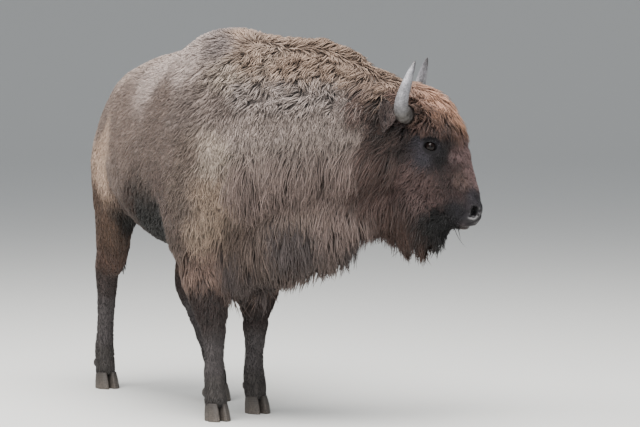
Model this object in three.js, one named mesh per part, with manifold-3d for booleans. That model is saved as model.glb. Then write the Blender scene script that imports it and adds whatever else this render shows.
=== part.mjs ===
// A still, life-size model of a wisent cow standing with her neck turned to the left.
// Millimetres, +X towards the front of the body, +Y to its left, +Z up, soles of the hooves at Z = 0.
//
// The coat's outer surface is one smooth field, blended from a few lofted limbs with named stations.
// Each part of the body is that surface, meshed at its own fineness, between thin flat cuts.
// Horns, ears, eyes and hooves are separate pieces set into or against it.
import * as THREE from "three";
import Module from "manifold-3d";

const wasm = await Module();
wasm.setup();

// ---------------------------------------------------------------- driving dimensions
const HUMP_HEIGHT = 1646; // to the tips of the coat
const CUT = 0.4; // width of the thin cuts between parts
const SET_IN = 0.8; // clearance round a piece that is set into its neighbour
const HAIR_GAP = 1.5; // clearance between hanging hair and the body behind it
const SLIVER = 0.05; // edges shorter than this are left out

// Where each foot stands. She is taking a slow step: the left hind foot is well forward.
const FRONT_FEET = { right: { x: 270, y: -125 }, left: { x: 125, y: 125 } };
const HIND_FEET = { right: { x: -940, y: -140 }, left: { x: -320, y: 140 } };

// The head hangs from the poll, turned to the left, pitched down and leaning a little to its right.
const POLL = { x: 720, y: 596, z: 1360 };
const HEAD_TURN = THREE.MathUtils.degToRad(57);
const HEAD_PITCH = THREE.MathUtils.degToRad(59);
const HEAD_ROLL = THREE.MathUtils.degToRad(4); // its right side a little lower

const EYE = { along: 211, above: -52, out: 116, radius: 21 };
const HORN = { base: 34, taper: 0.38 };
const EAR = { length: 140, width: 80, thick: 12, cup: 14 };
const CLAW = { length: 112, width: 50, height: 74, ahead: 34, apart: 16 };
const DEWCLAW = { behind: 54, apart: 26, height: 112 };

// Edge of the meshing cells, by part.
const CELL = {
  trunk: [104, 84, 86],
  neck: 72,
  head: 47,
  beard: 68,
  mane: 94,
  foreleg: 54,
  hindleg: 60,
  shank: [38, 38, 74],
  tail: [25, 25, 74],
  tuft: [32, 32, 80],
};

// ---------------------------------------------------------------- colours, roughness
const HIDE = {
  flank: new THREE.MeshStandardMaterial({ color: 0x6b5645, roughness: 0.95 }),
  neck: new THREE.MeshStandardMaterial({ color: 0x7a5f47, roughness: 0.95 }),
  head: new THREE.MeshStandardMaterial({ color: 0x4a3329, roughness: 0.95 }),
  beard: new THREE.MeshStandardMaterial({ color: 0x33241d, roughness: 0.95 }),
  mane: new THREE.MeshStandardMaterial({ color: 0x5a4536, roughness: 0.95 }),
  leg: new THREE.MeshStandardMaterial({ color: 0x43342b, roughness: 0.95 }),
};
const HORN_MATERIAL = new THREE.MeshStandardMaterial({ color: 0x77776f, roughness: 0.55 });
const EYE_MATERIAL = new THREE.MeshStandardMaterial({ color: 0x0c0a0b, roughness: 0.08 });
const HOOF_MATERIAL = new THREE.MeshStandardMaterial({ color: 0x2b2825, roughness: 0.7 });

const at = (x, y, z) => new THREE.Vector3(x, y, z);

// ---------------------------------------------------------------- the head's own frame
const heading = new THREE.Vector3(Math.cos(HEAD_TURN), Math.sin(HEAD_TURN), 0);
const HEAD_ALONG = heading.clone().multiplyScalar(Math.cos(HEAD_PITCH)).setZ(-Math.sin(HEAD_PITCH));
const HEAD_ABOVE = heading.clone().multiplyScalar(Math.sin(HEAD_PITCH)).setZ(Math.cos(HEAD_PITCH));
HEAD_ABOVE.applyAxisAngle(HEAD_ALONG, HEAD_ROLL);
const HEAD_LEFT = new THREE.Vector3().crossVectors(HEAD_ABOVE, HEAD_ALONG);

// A point given along the face from the poll, above the poll, and out to the left.
function onHead(along, above, out = 0) {
  return at(POLL.x, POLL.y, POLL.z)
    .addScaledVector(HEAD_ALONG, along)
    .addScaledVector(HEAD_ABOVE, above)
    .addScaledVector(HEAD_LEFT, out);
}

// ---------------------------------------------------------------- fields
// A field gives the distance to a surface, negative inside it.
const SAMPLES_PER_SPAN = 6;

function catmull(a, b, c, d, t) {
  const [bend, twist] = [2 * a - 5 * b + 4 * c - d, 3 * b - 3 * c + d - a];
  return 0.5 * (2 * b + (c - a) * t + bend * t * t + twist * t * t * t);
}

// Stations along a limb: at (its centre), side (half its width), up and down (from the centre to the skin),
// crown and keel (the roundness of its upper and lower half), and which way up is.
// An upright limb is sliced by vertical planes, so its top and belly lines run just where its stations say.
function limb(stations, { capStart = 60, capEnd = 60, up = at(0, 0, 1), upright = false } = {}) {
  const rising = upright ? 0 : 1;
  const keys = ["x", "y", "z", "side", "up", "down", "crown", "keel", "ux", "uy", "uz"];
  const rows = stations.map((s) => {
    const lift = s.lift ?? up;
    const { side, up: rise, down, crown = 2, keel = 2 } = s;
    return [s.at.x, s.at.y, s.at.z, side, rise, down ?? rise, crown, keel, lift.x, lift.y, lift.z];
  });
  const samples = [];
  for (let i = 0; i < rows.length - 1; i++) {
    const [a, d] = [rows[Math.max(i - 1, 0)], rows[Math.min(i + 2, rows.length - 1)]];
    const [b, c] = [rows[i], rows[i + 1]];
    for (let j = 0; j < SAMPLES_PER_SPAN; j++)
      samples.push(keys.map((_, k) => catmull(a[k], b[k], c[k], d[k], j / SAMPLES_PER_SPAN)));
  }
  samples.push(rows[rows.length - 1]);
  const frames = samples.map((s, i) => {
    const before = samples[Math.max(i - 1, 0)];
    const after = samples[Math.min(i + 1, samples.length - 1)];
    const [dx, dy, dz] = [0, 1, 2].map((k) => after[k] - before[k]);
    const along = new THREE.Vector3(dx, dy, rising * dz).normalize();
    const rise = new THREE.Vector3(s[8], s[9], s[10]);
    rise.addScaledVector(along, -along.dot(rise)).normalize();
    const left = new THREE.Vector3().crossVectors(rise, along);
    return [...along.toArray(), ...rise.toArray(), ...left.toArray()];
  });
  const blended = new Float64Array(17);
  return (x, y, z) => {
    let nearest = Infinity;
    let span = 0;
    let share = 0;
    for (let i = 0; i < samples.length - 1; i++) {
      const a = samples[i];
      const b = samples[i + 1];
      const [ex, ey, ez] = [b[0] - a[0], b[1] - a[1], rising * (b[2] - a[2])];
      const [px, py, pz] = [x - a[0], y - a[1], rising * (z - a[2])];
      const t = Math.min(1, Math.max(0, (px * ex + py * ey + pz * ez) / (ex * ex + ey * ey + ez * ez)));
      const gap = (px - t * ex) ** 2 + (py - t * ey) ** 2 + (pz - t * ez) ** 2;
      if (gap < nearest) [nearest, span, share] = [gap, i, t];
    }
    const mixed = (rows, k) => rows[span][k] * (1 - share) + rows[span + 1][k] * share;
    for (let k = 0; k < 8; k++) blended[k] = mixed(samples, k);
    for (let k = 0; k < 9; k++) blended[8 + k] = mixed(frames, k);
    const [cx, cy, cz, side, rise, down, crown, keel, tx, ty, tz, nx, ny, nz, lx, ly, lz] = blended;
    const [px, py, pz] = [x - cx, y - cy, z - cz];
    const v = px * lx + py * ly + pz * lz;
    const w = px * nx + py * ny + pz * nz;
    const a = px * tx + py * ty + pz * tz;
    const atStart = span === 0 && share === 0;
    const atEnd = span === samples.length - 2 && share === 1;
    const past = atStart ? Math.min(a, 0) / capStart : atEnd ? Math.max(a, 0) / capEnd : 0;
    const power = w > 0 ? crown : keel;
    const parts = [v / side, w / (w > 0 ? rise : down), past];
    const g = parts.reduce((sum, part) => sum + Math.abs(part) ** power, 0) ** (1 / power);
    const far = Math.sqrt(v * v + w * w + (past ? a * a : 0));
    return g < 1e-6 ? -Math.min(side, rise, down) : far * (1 - 1 / g);
  };
}

// A rounded mass: centre, half sizes, and the directions of its length and its height.
function mass(centre, [long, wide, high], along = at(1, 0, 0), up = at(0, 0, 1)) {
  const rise = up.clone().addScaledVector(along, -along.dot(up)).normalize();
  const left = new THREE.Vector3().crossVectors(rise, along);
  return (x, y, z) => {
    const [px, py, pz] = [x - centre.x, y - centre.y, z - centre.z];
    const a = px * along.x + py * along.y + pz * along.z;
    const v = px * left.x + py * left.y + pz * left.z;
    const w = px * rise.x + py * rise.y + pz * rise.z;
    const g = Math.sqrt((a / long) ** 2 + (v / wide) ** 2 + (w / high) ** 2);
    return g < 1e-6 ? -Math.min(long, wide, high) : Math.sqrt(a * a + v * v + w * w) * (1 - 1 / g);
  };
}

// The nearer of two distances, rounded where they meet over a width of about `soft`.
function blend(a, b, soft) {
  const h = Math.max(soft - Math.abs(a - b), 0) / soft;
  return Math.min(a, b) - (h * h * soft) / 4;
}

// ---------------------------------------------------------------- trunk
// A back station: its top and its belly line, with half the width.
function backStation(name, x, y, top, belly, side, crown = 2, keel = 2) {
  const middle = 0.58 * top + 0.42 * belly - 120;
  return { name, at: at(x, y, middle), side, up: top - middle, down: middle - belly, crown, keel };
}

const trunk = limb(
  [
    backStation("pin bones", -1005, 0, 1372, 900, 116),
    backStation("croup", -880, 0, 1438, 845, 182, 2.2),
    backStation("hips", -715, 0, 1482, 800, 236, 2.1),
    backStation("loin", -520, 0, 1518, 735, 286, 1.9, 2.2),
    backStation("barrel", -320, 0, 1544, 685, 312, 1.75, 2.3),
    backStation("saddle", -170, 0, 1568, 662, 316, 1.7, 2.3),
    backStation("rise of the hump", -40, 0, 1620, 660, 314, 1.65, 2.3),
    backStation("hump", 130, 0, HUMP_HEIGHT, 668, 300, 1.65, 2.3),
    backStation("withers", 250, 0, 1600, 710, 266, 1.75, 2.2),
    backStation("brisket", 360, 26, 1460, 800, 172, 1.85),
  ],
  { capStart: 72, capEnd: 95, upright: true },
);

const SIDES = [
  { side: "right", sign: -1 },
  { side: "left", sign: 1 },
];

const shoulderMasses = SIDES.map(({ sign }) =>
  mass(at(215, 196 * sign, 985), [330, 112, 200], at(0.2, 0, 0.98), at(-0.98, 0, 0.2)),
);
const haunchMasses = SIDES.map(({ sign }) => mass(at(-830, 110 * sign, 1030), [170, 92, 230]));

// ---------------------------------------------------------------- neck
const neck = limb(
  [
    backStation("withers", 150, 0, 1570, 780, 235, 1.8),
    backStation("neck base", 345, 70, 1622, 800, 216, 1.75),
    backStation("mid neck", 465, 172, 1596, 850, 196, 1.75),
    backStation("crest", 550, 273, 1592, 880, 182, 1.75),
    backStation("nape", 608, 358, 1546, 910, 170, 1.8),
    backStation("behind the ears", 676, 494, 1442, 960, 154, 1.9),
  ],
  { capEnd: 60, upright: true },
);

// ---------------------------------------------------------------- head
// Stations down the face: height of the forehead side and of the jaw side above the poll, and half width.
function headStation(name, along, topLine, jawLine, side, crown = 2.2, keel = 2.2) {
  const middle = (topLine + jawLine) / 2;
  const half = (topLine - jawLine) / 2;
  return { name, at: onHead(along, middle), side, up: half, down: half, crown, keel, lift: HEAD_ABOVE };
}

const head = limb(
  [
    headStation("occiput", -19, 6, -270, 131),
    headStation("horn line", 43, 62, -277, 136, 2.3),
    headStation("forelock", 119, 108, -268, 134, 2.2),
    headStation("brow", 185, 106, -253, 124, 2.1),
    headStation("below the eyes", 252, 79, -238, 110, 2.1),
    headStation("cheek end", 314, 57, -220, 95, 2.1),
    headStation("nose bridge", 380, 36, -203, 80, 2.2),
    headStation("above the nostrils", 442, 17, -192, 72, 2.4),
    headStation("muzzle", 505, -4, -186, 74, 2.5, 2.3),
    headStation("lips", 548, -30, -180, 64, 2.4, 2.3),
  ],
  { capStart: 60, capEnd: 38 },
);
const onBothCheeks = (along, above, out, sizes) =>
  SIDES.map(({ sign }) => mass(onHead(along, above, out * sign), sizes, HEAD_ALONG, HEAD_ABOVE));
const cheeks = onBothCheeks(157, -176, 72, [123, 58, 100]);
const brows = onBothCheeks(200, -42, 82, [56, 42, 46]);

// ---------------------------------------------------------------- legs
// Stations down a leg: forward is the limb's up, so up and down are its front and back.
const FORWARD = at(1, 0, 0);

function legStation(name, x, y, z, side, front, back) {
  return { name, at: at(x, y, z), side, up: front, down: back };
}

function foreleg({ x, y }, sign) {
  const shoulderX = 195;
  const between = (share) => shoulderX + (x - shoulderX) * share;
  return limb(
    [
      legStation("shoulder", between(0), 170 * sign, 900, 105, 165, 160),
      legStation("elbow", between(0.15) - 25, y + 30 * sign, 750, 112, 132, 140),
      legStation("forearm", between(0.42) - 22, y + 20 * sign, 625, 108, 112, 120),
      legStation("lower forearm", between(0.66) - 8, y + 8 * sign, 505, 90, 88, 98),
      legStation("knee", between(0.86), y, 400, 64, 68, 68),
      legStation("below the knee", between(0.93), y, 330, 47, 50, 54),
      legStation("cannon", between(0.97), y, 240, 41, 42, 48),
      legStation("fetlock", x - 4, y, 150, 48, 48, 58),
      legStation("pastern", x + 12, y, 100, 47, 46, 50),
      legStation("coronet", x + 22, y, 40, 54, 54, 52),
    ],
    { capStart: 60, capEnd: 8, up: FORWARD },
  );
}

// A hind leg swings from the hip: the hock lies behind the line from the stifle to the foot.
function hindleg({ x, y }, sign, { stifle, hock }) {
  const down = (share) => hock.x + (x - hock.x) * share;
  const low = (share) => hock.z + (150 - hock.z) * share;
  const cannon = new THREE.Vector2(x - hock.x, 150 - hock.z).normalize();
  const gaskin = { x: 0.5 * (stifle.x + hock.x) + 8, z: 0.45 * stifle.z + 0.55 * hock.z };
  const leaning = (station) => ({ ...station, lift: at(-cannon.y, 0, cannon.x) });
  return limb(
    [
      legStation("hip", -800, 108 * sign, 1090, 95, 150, 140),
      legStation("thigh", -800 + 0.4 * (stifle.x + 800), y + 12 * sign, 930, 92, 165, 150),
      legStation("stifle", stifle.x, y + 18 * sign, stifle.z, 84, 130, 112),
      legStation("gaskin", gaskin.x, y + 8 * sign, gaskin.z, 70, 94, 86),
      legStation("above the hock", hock.x + 10, y + 2 * sign, hock.z + 80, 56, 68, 74),
      leaning(legStation("hock", hock.x, y, hock.z, 50, 54, 66)),
      leaning(legStation("below the hock", down(0.25), y, low(0.25), 43, 43, 50)),
      leaning(legStation("cannon", down(0.62), y, low(0.62), 40, 40, 45)),
      leaning(legStation("fetlock", down(0.96), y, 158, 47, 46, 56)),
      legStation("pastern", x + 12, y, 102, 45, 44, 48),
      legStation("coronet", x + 22, y, 40, 53, 52, 50),
    ],
    { capStart: 80, capEnd: 8, up: FORWARD },
  );
}

const HIND_JOINTS = {
  right: { stifle: { x: -770, z: 800 }, hock: { x: -905, z: 470 } },
  left: { stifle: { x: -610, z: 790 }, hock: { x: -645, z: 470 } },
};

const forelegs = SIDES.map(({ side, sign }) => foreleg(FRONT_FEET[side], sign));
const hindlegs = SIDES.map(({ side, sign }) => hindleg(HIND_FEET[side], sign, HIND_JOINTS[side]));

// ---------------------------------------------------------------- tail
const TAIL_Y = 14;
const tailStock = limb(
  [
    { name: "tail head", at: at(-1010, 0, 1270), side: 50, up: 46 },
    { name: "root", at: at(-1082, 4, 1210), side: 36, up: 34 },
    { name: "dock", at: at(-1112, 10, 1090), side: 27, up: 26 },
    { name: "lower dock", at: at(-1112, TAIL_Y, 910), side: 23, up: 24 },
    { name: "end of the dock", at: at(-1104, TAIL_Y, 735), side: 21, up: 22 },
  ],
  { capEnd: 24, up: at(-1, 0, 0) },
);
const tailTuft = limb(
  [
    { name: "top", at: at(-1106, TAIL_Y, 800), side: 27, up: 28 },
    { name: "middle", at: at(-1098, TAIL_Y, 660), side: 42, up: 40 },
    { name: "end", at: at(-1094, TAIL_Y, 520), side: 22, up: 22 },
  ],
  { capStart: 20, capEnd: 40, up: at(-1, 0, 0) },
);

// ---------------------------------------------------------------- hanging hair
// A curtain of hair: how low it hangs, where it starts, and half its thickness.
function curtain(name, x, y, from, to, side) {
  return { name, at: at(x, y, (from + to) / 2), side, up: (from - to) / 2 };
}

const throatMane = limb(
  [
    curtain("between the forelegs", 130, 0, 760, 590, 118),
    curtain("brisket", 300, 22, 840, 520, 142),
    curtain("base of the throat", 450, 118, 960, 548, 150),
    curtain("throat", 540, 232, 1020, 610, 132),
    curtain("upper throat", 598, 325, 1045, 715, 118),
    curtain("behind the jaw", 640, 400, 1060, 768, 106),
    curtain("under the ears", 680, 478, 1080, 785, 98),
  ],
  { capStart: 60, capEnd: 50 },
);
const chestFringe = limb(
  [
    { name: "root", at: at(330, 34, 720), side: 118, up: 80 },
    { name: "middle", at: at(352, 44, 560), side: 98, up: 70 },
    { name: "tip", at: at(362, 50, 450), side: 48, up: 40 },
  ],
  { capEnd: 50, up: FORWARD },
);
const maneField = (x, y, z) => blend(throatMane(x, y, z), chestFringe(x, y, z), 90);
const beardField = limb(
  [
    curtain("under the cheek", 672, 498, 1050, 765, 88),
    curtain("behind the chin", 712, 552, 1010, 700, 92),
    curtain("longest hair", 752, 606, 970, 668, 84),
    curtain("under the chin", 784, 662, 920, 735, 60),
    curtain("chin", 804, 696, 880, 790, 36),
  ],
  { capStart: 60, capEnd: 26 },
);

// ---------------------------------------------------------------- the whole coat's surface
const JOIN = { neck: 160, masses: 110, legs: 80, cheeks: 60, brows: 40, head: 80, tail: 30 };
const nearest = (fields) => (x, y, z) => Math.min(...fields.map((field) => field(x, y, z)));
const everyLeg = nearest([...forelegs, ...hindlegs]);

function coat(x, y, z) {
  let body = blend(trunk(x, y, z), neck(x, y, z), JOIN.neck);
  for (const part of [...shoulderMasses, ...haunchMasses]) body = blend(body, part(x, y, z), JOIN.masses);
  body = blend(body, everyLeg(x, y, z), JOIN.legs);
  let face = head(x, y, z);
  for (const part of cheeks) face = blend(face, part(x, y, z), JOIN.cheeks);
  for (const part of brows) face = blend(face, part(x, y, z), JOIN.brows);
  return blend(blend(body, face, JOIN.head), tailStock(x, y, z), JOIN.tail);
}

// ---------------------------------------------------------------- meshing
// The eight corners of a cell and its twelve edges, as pairs of corners.
const CORNERS = [...Array(8).keys()].map((i) => [i & 1, (i >> 1) & 1, (i >> 2) & 1]);
const EDGES = CORNERS.flatMap((_, i) => [1, 2, 4].filter((bit) => !(i & bit)).map((bit) => [i, i | bit]));
const SETTLE_STEPS = 4;

// The surface of a field inside a box, as a closed solid with one vertex in each cell that it crosses.
function surfaceOf(field, low, high, cell) {
  const step = Array.isArray(cell) ? cell : [cell, cell, cell];
  const count = step.map((s, k) => Math.ceil((high.getComponent(k) - low.getComponent(k)) / s) + 1);
  const [nx, ny, nz] = count;
  const index = (i, j, k) => i + nx * (j + ny * k);
  const place = (i, j, k) => [low.x + i * step[0], low.y + j * step[1], low.z + k * step[2]];
  const values = new Float64Array(nx * ny * nz);
  for (let k = 0; k < nz; k++)
    for (let j = 0; j < ny; j++)
      for (let i = 0; i < nx; i++) {
        const rim = i === 0 || j === 0 || k === 0 || i === nx - 1 || j === ny - 1 || k === nz - 1;
        const d = field(...place(i, j, k));
        values[index(i, j, k)] = rim ? Math.max(d, 1) : d;
      }
  const vertexOf = new Map();
  const vertices = [];
  for (let k = 0; k < nz - 1; k++)
    for (let j = 0; j < ny - 1; j++)
      for (let i = 0; i < nx - 1; i++) {
        const v = CORNERS.map(([a, b, c]) => values[index(i + a, j + b, k + c)]);
        if (v.every((d) => d < 0) || v.every((d) => d >= 0)) continue;
        const sum = [0, 0, 0];
        let crossings = 0;
        for (const [a, b] of EDGES)
          if (v[a] < 0 !== v[b] < 0) {
            const t = v[a] / (v[a] - v[b]);
            for (let k = 0; k < 3; k++) sum[k] += CORNERS[a][k] * (1 - t) + CORNERS[b][k] * t;
            crossings++;
          }
        const point = place(i, j, k).map((c, axis) => c + (sum[axis] / crossings) * step[axis]);
        const inner = i > 0 && j > 0 && k > 0 && i < nx - 2 && j < ny - 2 && k < nz - 2;
        vertexOf.set(index(i, j, k), vertices.length / 3);
        vertices.push(...(inner ? settled(field, point, Math.min(...step)) : point));
      }
  const triangles = [];
  const face = (a, b, c, d, flip) => triangles.push(...(flip ? [a, c, b, a, d, c] : [a, b, c, a, c, d]));
  for (let k = 0; k < nz - 1; k++)
    for (let j = 0; j < ny - 1; j++)
      for (let i = 0; i < nx - 1; i++) {
        const here = values[index(i, j, k)] < 0;
        const cellAt = (a, b, c) => vertexOf.get(index(i - a, j - b, k - c));
        if (j > 0 && k > 0 && here !== values[index(i + 1, j, k)] < 0)
          face(cellAt(0, 1, 1), cellAt(0, 0, 1), cellAt(0, 0, 0), cellAt(0, 1, 0), !here);
        if (i > 0 && k > 0 && here !== values[index(i, j + 1, k)] < 0)
          face(cellAt(1, 0, 1), cellAt(1, 0, 0), cellAt(0, 0, 0), cellAt(0, 0, 1), !here);
        if (i > 0 && j > 0 && here !== values[index(i, j, k + 1)] < 0)
          face(cellAt(1, 1, 0), cellAt(0, 1, 0), cellAt(0, 0, 0), cellAt(1, 0, 0), !here);
      }
  return solid(new Float32Array(vertices), new Uint32Array(triangles));
}

// A point moved down the field's slope until it lies on the surface, no further than half a cell.
function settled(field, start, cell) {
  const small = 0.5;
  let [x, y, z] = start;
  for (let n = 0; n < SETTLE_STEPS; n++) {
    const d = field(x, y, z);
    const slope = [
      (field(x + small, y, z) - field(x - small, y, z)) / (2 * small),
      (field(x, y + small, z) - field(x, y - small, z)) / (2 * small),
      (field(x, y, z + small) - field(x, y, z - small)) / (2 * small),
    ];
    const steep = slope[0] ** 2 + slope[1] ** 2 + slope[2] ** 2;
    if (steep < 1e-4) break;
    const move = THREE.MathUtils.clamp(d / steep, -cell / 4, cell / 4);
    [x, y, z] = [x - slope[0] * move, y - slope[1] * move, z - slope[2] * move];
  }
  const moved = Math.hypot(x - start[0], y - start[1], z - start[2]);
  return moved < cell / 2 ? [x, y, z] : start;
}

function solid(vertProperties, triVerts) {
  return new wasm.Manifold(new wasm.Mesh({ numProp: 3, vertProperties, triVerts }));
}

// The same solid with its surface moved outwards.
function grown(part, distance) {
  const geometry = geometryOf(part);
  geometry.computeVertexNormals();
  const [position, normal] = [geometry.getAttribute("position"), geometry.getAttribute("normal")];
  for (let i = 0; i < position.array.length; i++) position.array[i] += normal.array[i] * distance;
  return solid(position.array, geometry.index.array);
}

// ---------------------------------------------------------------- joining and cutting
const HALF_SPACE = 4000;

// A three.js geometry as a solid, with the vertices that share a place merged.
function solidOf(geometry) {
  const source = geometry.index ? geometry.toNonIndexed() : geometry;
  const position = source.getAttribute("position");
  const known = new Map();
  const vertices = [];
  const triangles = [];
  for (let i = 0; i < position.count; i++) {
    const corner = [position.getX(i), position.getY(i), position.getZ(i)];
    const point = corner.map((c) => Math.round(c * 1000) / 1000);
    const key = point.join();
    if (!known.has(key)) {
      known.set(key, vertices.length / 3);
      vertices.push(...point);
    }
    triangles.push(known.get(key));
  }
  const kept = [];
  for (let i = 0; i < triangles.length; i += 3) {
    const [a, b, c] = triangles.slice(i, i + 3);
    if (a !== b && b !== c && a !== c) kept.push(a, b, c);
  }
  return solid(new Float32Array(vertices), new Uint32Array(kept));
}

function geometryOf(part) {
  const mesh = part.getMesh();
  const vertices = new Float32Array(mesh.numVert * 3);
  for (let i = 0; i < mesh.numVert; i++)
    vertices.set(mesh.vertProperties.subarray(i * mesh.numProp, i * mesh.numProp + 3), i * 3);
  return new THREE.BufferGeometry()
    .setAttribute("position", new THREE.BufferAttribute(vertices, 3))
    .setIndex(new THREE.BufferAttribute(new Uint32Array(mesh.triVerts), 1));
}

// What lies in front of a plane, less half a cut's width.
function beyond(part, point, normal) {
  const facing = normal.clone().normalize();
  const block = new THREE.BoxGeometry(HALF_SPACE, HALF_SPACE, HALF_SPACE);
  block.translate(0, 0, HALF_SPACE / 2 + CUT / 2);
  block.applyQuaternion(new THREE.Quaternion().setFromUnitVectors(at(0, 0, 1), facing));
  block.translate(point.x, point.y, point.z);
  return part.intersect(solidOf(block));
}

const largest = (part) => part.decompose().sort((a, b) => b.volume() - a.volume())[0];

// ---------------------------------------------------------------- the cuts
const HEAD_CUT = { point: onHead(-80, -110), normal: HEAD_ALONG.clone().addScaledVector(HEAD_ABOVE, 0.45) };
const NECK_CUT = { point: at(390, 60, 1100), normal: at(0.92, 0.35, -0.05) };
const BELLY_CUT = { point: at(0, 0, 640), normal: at(0, 0, 1) };
const THIGH_CUT = { point: at(-700, 0, 790), normal: at(0.4, 0, 1) };
const KNEE_CUT = { point: at(0, 0, 385), normal: at(0, 0, 1) };
const HOCK_CUT = { point: at(0, 0, 445), normal: at(0, 0, 1) };
const COMMON_MIDDLE = { point: at(0, 0, 0), normal: at(0, 1, 0) };
const CORONET_CUT = { point: at(0, 0, CLAW.height), normal: at(0, 0, 1) };
const TAIL_CUT = { point: at(-1086, 0, 1200), normal: at(-1, 0, -0.03) };
const TUFT_CUT = { point: at(0, 0, 770), normal: at(0, 0, 1) };

const flipped = ({ point, normal }) => ({ point, normal: normal.clone().negate() });
const cutBy = (part, cuts) => cuts.reduce((rest, { point, normal }) => beyond(rest, point, normal), part);

const pieces = new THREE.Group();

// The body is laid out from the floor under the hump. The pieces are moved so that the origin comes to the
// middle of the bounding box's base.
const TO_BASE_MIDDLE = [120.39, -254.57, 0];

function addPiece(name, part, material) {
  const mesh = new THREE.Mesh(geometryOf(part).translate(...TO_BASE_MIDDLE), material);
  mesh.name = name;
  pieces.add(mesh);
}

// A part of the body: the coat's surface in a box, cut from its neighbours.
function bodyPart(low, high, cell, cuts) {
  return largest(cutBy(surfaceOf(coat, low, high, cell), cuts));
}

// ---------------------------------------------------------------- loose pieces
// A closed skin over rings of equally many points, with a point at each end.
function skinOver(rings) {
  const sides = rings[0].length;
  const middle = (ring) => ring.reduce((sum, p) => sum.add(p), new THREE.Vector3()).divideScalar(sides);
  const points = [...rings.flat(), middle(rings[0]), middle(rings[rings.length - 1])];
  const triangles = [];
  for (let r = 0; r < rings.length - 1; r++)
    for (let i = 0; i < sides; i++) {
      const [a, b] = [r * sides + i, r * sides + ((i + 1) % sides)];
      triangles.push(a, b, a + sides, b, b + sides, a + sides);
    }
  const last = (rings.length - 1) * sides;
  for (let i = 0; i < sides; i++) {
    const next = (i + 1) % sides;
    triangles.push(points.length - 2, next, i, points.length - 1, last + i, last + next);
  }
  const made = solid(new Float32Array(points.flatMap((p) => p.toArray())), new Uint32Array(triangles));
  if (made.volume() >= 0) return made;
  for (let i = 0; i < triangles.length; i += 3)
    [triangles[i + 1], triangles[i + 2]] = [triangles[i + 2], triangles[i + 1]];
  return solid(new Float32Array(points.flatMap((p) => p.toArray())), new Uint32Array(triangles));
}

// A horn leaves the side of the head, turns up, and leans in to a sharp tip.
function horn(sign) {
  const path = new THREE.CatmullRomCurve3([
    onHead(56, -46, 96 * sign),
    onHead(54, -62, 146 * sign),
    onHead(36, -68, 190 * sign),
    onHead(-4, -42, 212 * sign),
    onHead(-58, 16, 206 * sign),
    onHead(-116, 83, 176 * sign),
  ]);
  const steps = 8;
  const sides = 8;
  const frames = path.computeFrenetFrames(steps);
  const rings = [...Array(steps + 1).keys()].map((i) => {
    const t = i / steps;
    const radius = HORN.base * (1 - t) ** HORN.taper * (1 - 0.12 * t) + 2.2;
    return [...Array(sides).keys()].map((k) => {
      const turn = (2 * Math.PI * k) / sides;
      return path
        .getPoint(t)
        .addScaledVector(frames.normals[i], radius * Math.cos(turn))
        .addScaledVector(frames.binormals[i], radius * Math.sin(turn));
    });
  });
  return skinOver(rings);
}

// An ear is a leaf with a hollow front that hangs out, back and down from behind the horn.
function ear(sign) {
  const root = onHead(-34, -116, 138 * sign);
  const along = onHead(70, -42, 62 * sign).sub(onHead(0, 0)).normalize();
  const across = heading.clone().addScaledVector(along, -along.dot(heading)).normalize();
  const out = new THREE.Vector3().crossVectors(along, across).multiplyScalar(sign);
  const steps = 6;
  const sides = 10;
  const rings = [...Array(steps + 1).keys()].map((i) => {
    const t = i / steps;
    const leaf = 0.42 + 0.62 * Math.sin(Math.PI * (0.12 + 0.62 * t));
    const half = (EAR.width / 2) * leaf * (1 - t ** 5 * 0.8);
    const thick = (EAR.thick / 2) * (1.9 - 1.1 * t);
    return [...Array(sides).keys()].map((k) => {
      const turn = (2 * Math.PI * k) / sides;
      const v = Math.cos(turn);
      const cup = (1 - v * v) * EAR.cup * Math.sin(Math.PI * Math.min(1, 0.25 + 0.75 * t));
      return root
        .clone()
        .addScaledVector(along, EAR.length * t)
        .addScaledVector(across, half * v)
        .addScaledVector(out, thick * Math.sin(turn) - cup);
    });
  });
  return skinOver(rings);
}

function eyeball(sign) {
  const centre = onHead(EYE.along, EYE.above, EYE.out * sign);
  const ball = new THREE.SphereGeometry(EYE.radius, 10, 6);
  return solidOf(ball.translate(centre.x, centre.y, centre.z));
}

// A comma-shaped nostril, hollowed into the front corner of the muzzle.
function nostril(sign) {
  const hollow = new THREE.SphereGeometry(1, 10, 8).scale(17, 9, 26);
  hollow.rotateY(-0.9);
  const frame = new THREE.Matrix4().makeBasis(HEAD_ALONG, HEAD_LEFT, HEAD_ABOVE);
  hollow.rotateZ(0.35 * sign).applyMatrix4(frame);
  const centre = onHead(534, -42, 52 * sign);
  return solidOf(hollow.translate(centre.x, centre.y, centre.z));
}

// One claw of a cloven hoof: flat sole, sloping wall, flat inner side. `outer` is +1 towards +Y.
function claw(foot, outer) {
  const sides = 10;
  const levels = [
    { z: 0, scale: 1, shift: 0 },
    { z: 0.5, scale: 0.92, shift: -0.07 },
    { z: 1, scale: 0.78, shift: -0.16 },
  ];
  const rings = levels.map(({ z, scale, shift }) =>
    [...Array(sides).keys()].map((k) => {
      const turn = (2 * Math.PI * k) / sides;
      const [ahead, outward] = [Math.cos(turn), Math.sin(turn)];
      const length = (CLAW.length / 2) * scale * Math.sign(ahead) * Math.abs(ahead) ** 0.85;
      const bulge = outward > 0 ? 0.74 : 0.26;
      const toeIn = 1 - 0.35 * Math.max(0, ahead) ** 2;
      const width = CLAW.width * scale * bulge * outward * toeIn;
      const heelDrop = z === 1 && ahead < 0 ? 0.9 : 1;
      const middle = foot.x + CLAW.ahead + shift * CLAW.length;
      return at(middle + length, foot.y + outer * (CLAW.apart + width), z * CLAW.height * heelDrop);
    }),
  );
  return skinOver(rings);
}

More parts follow.
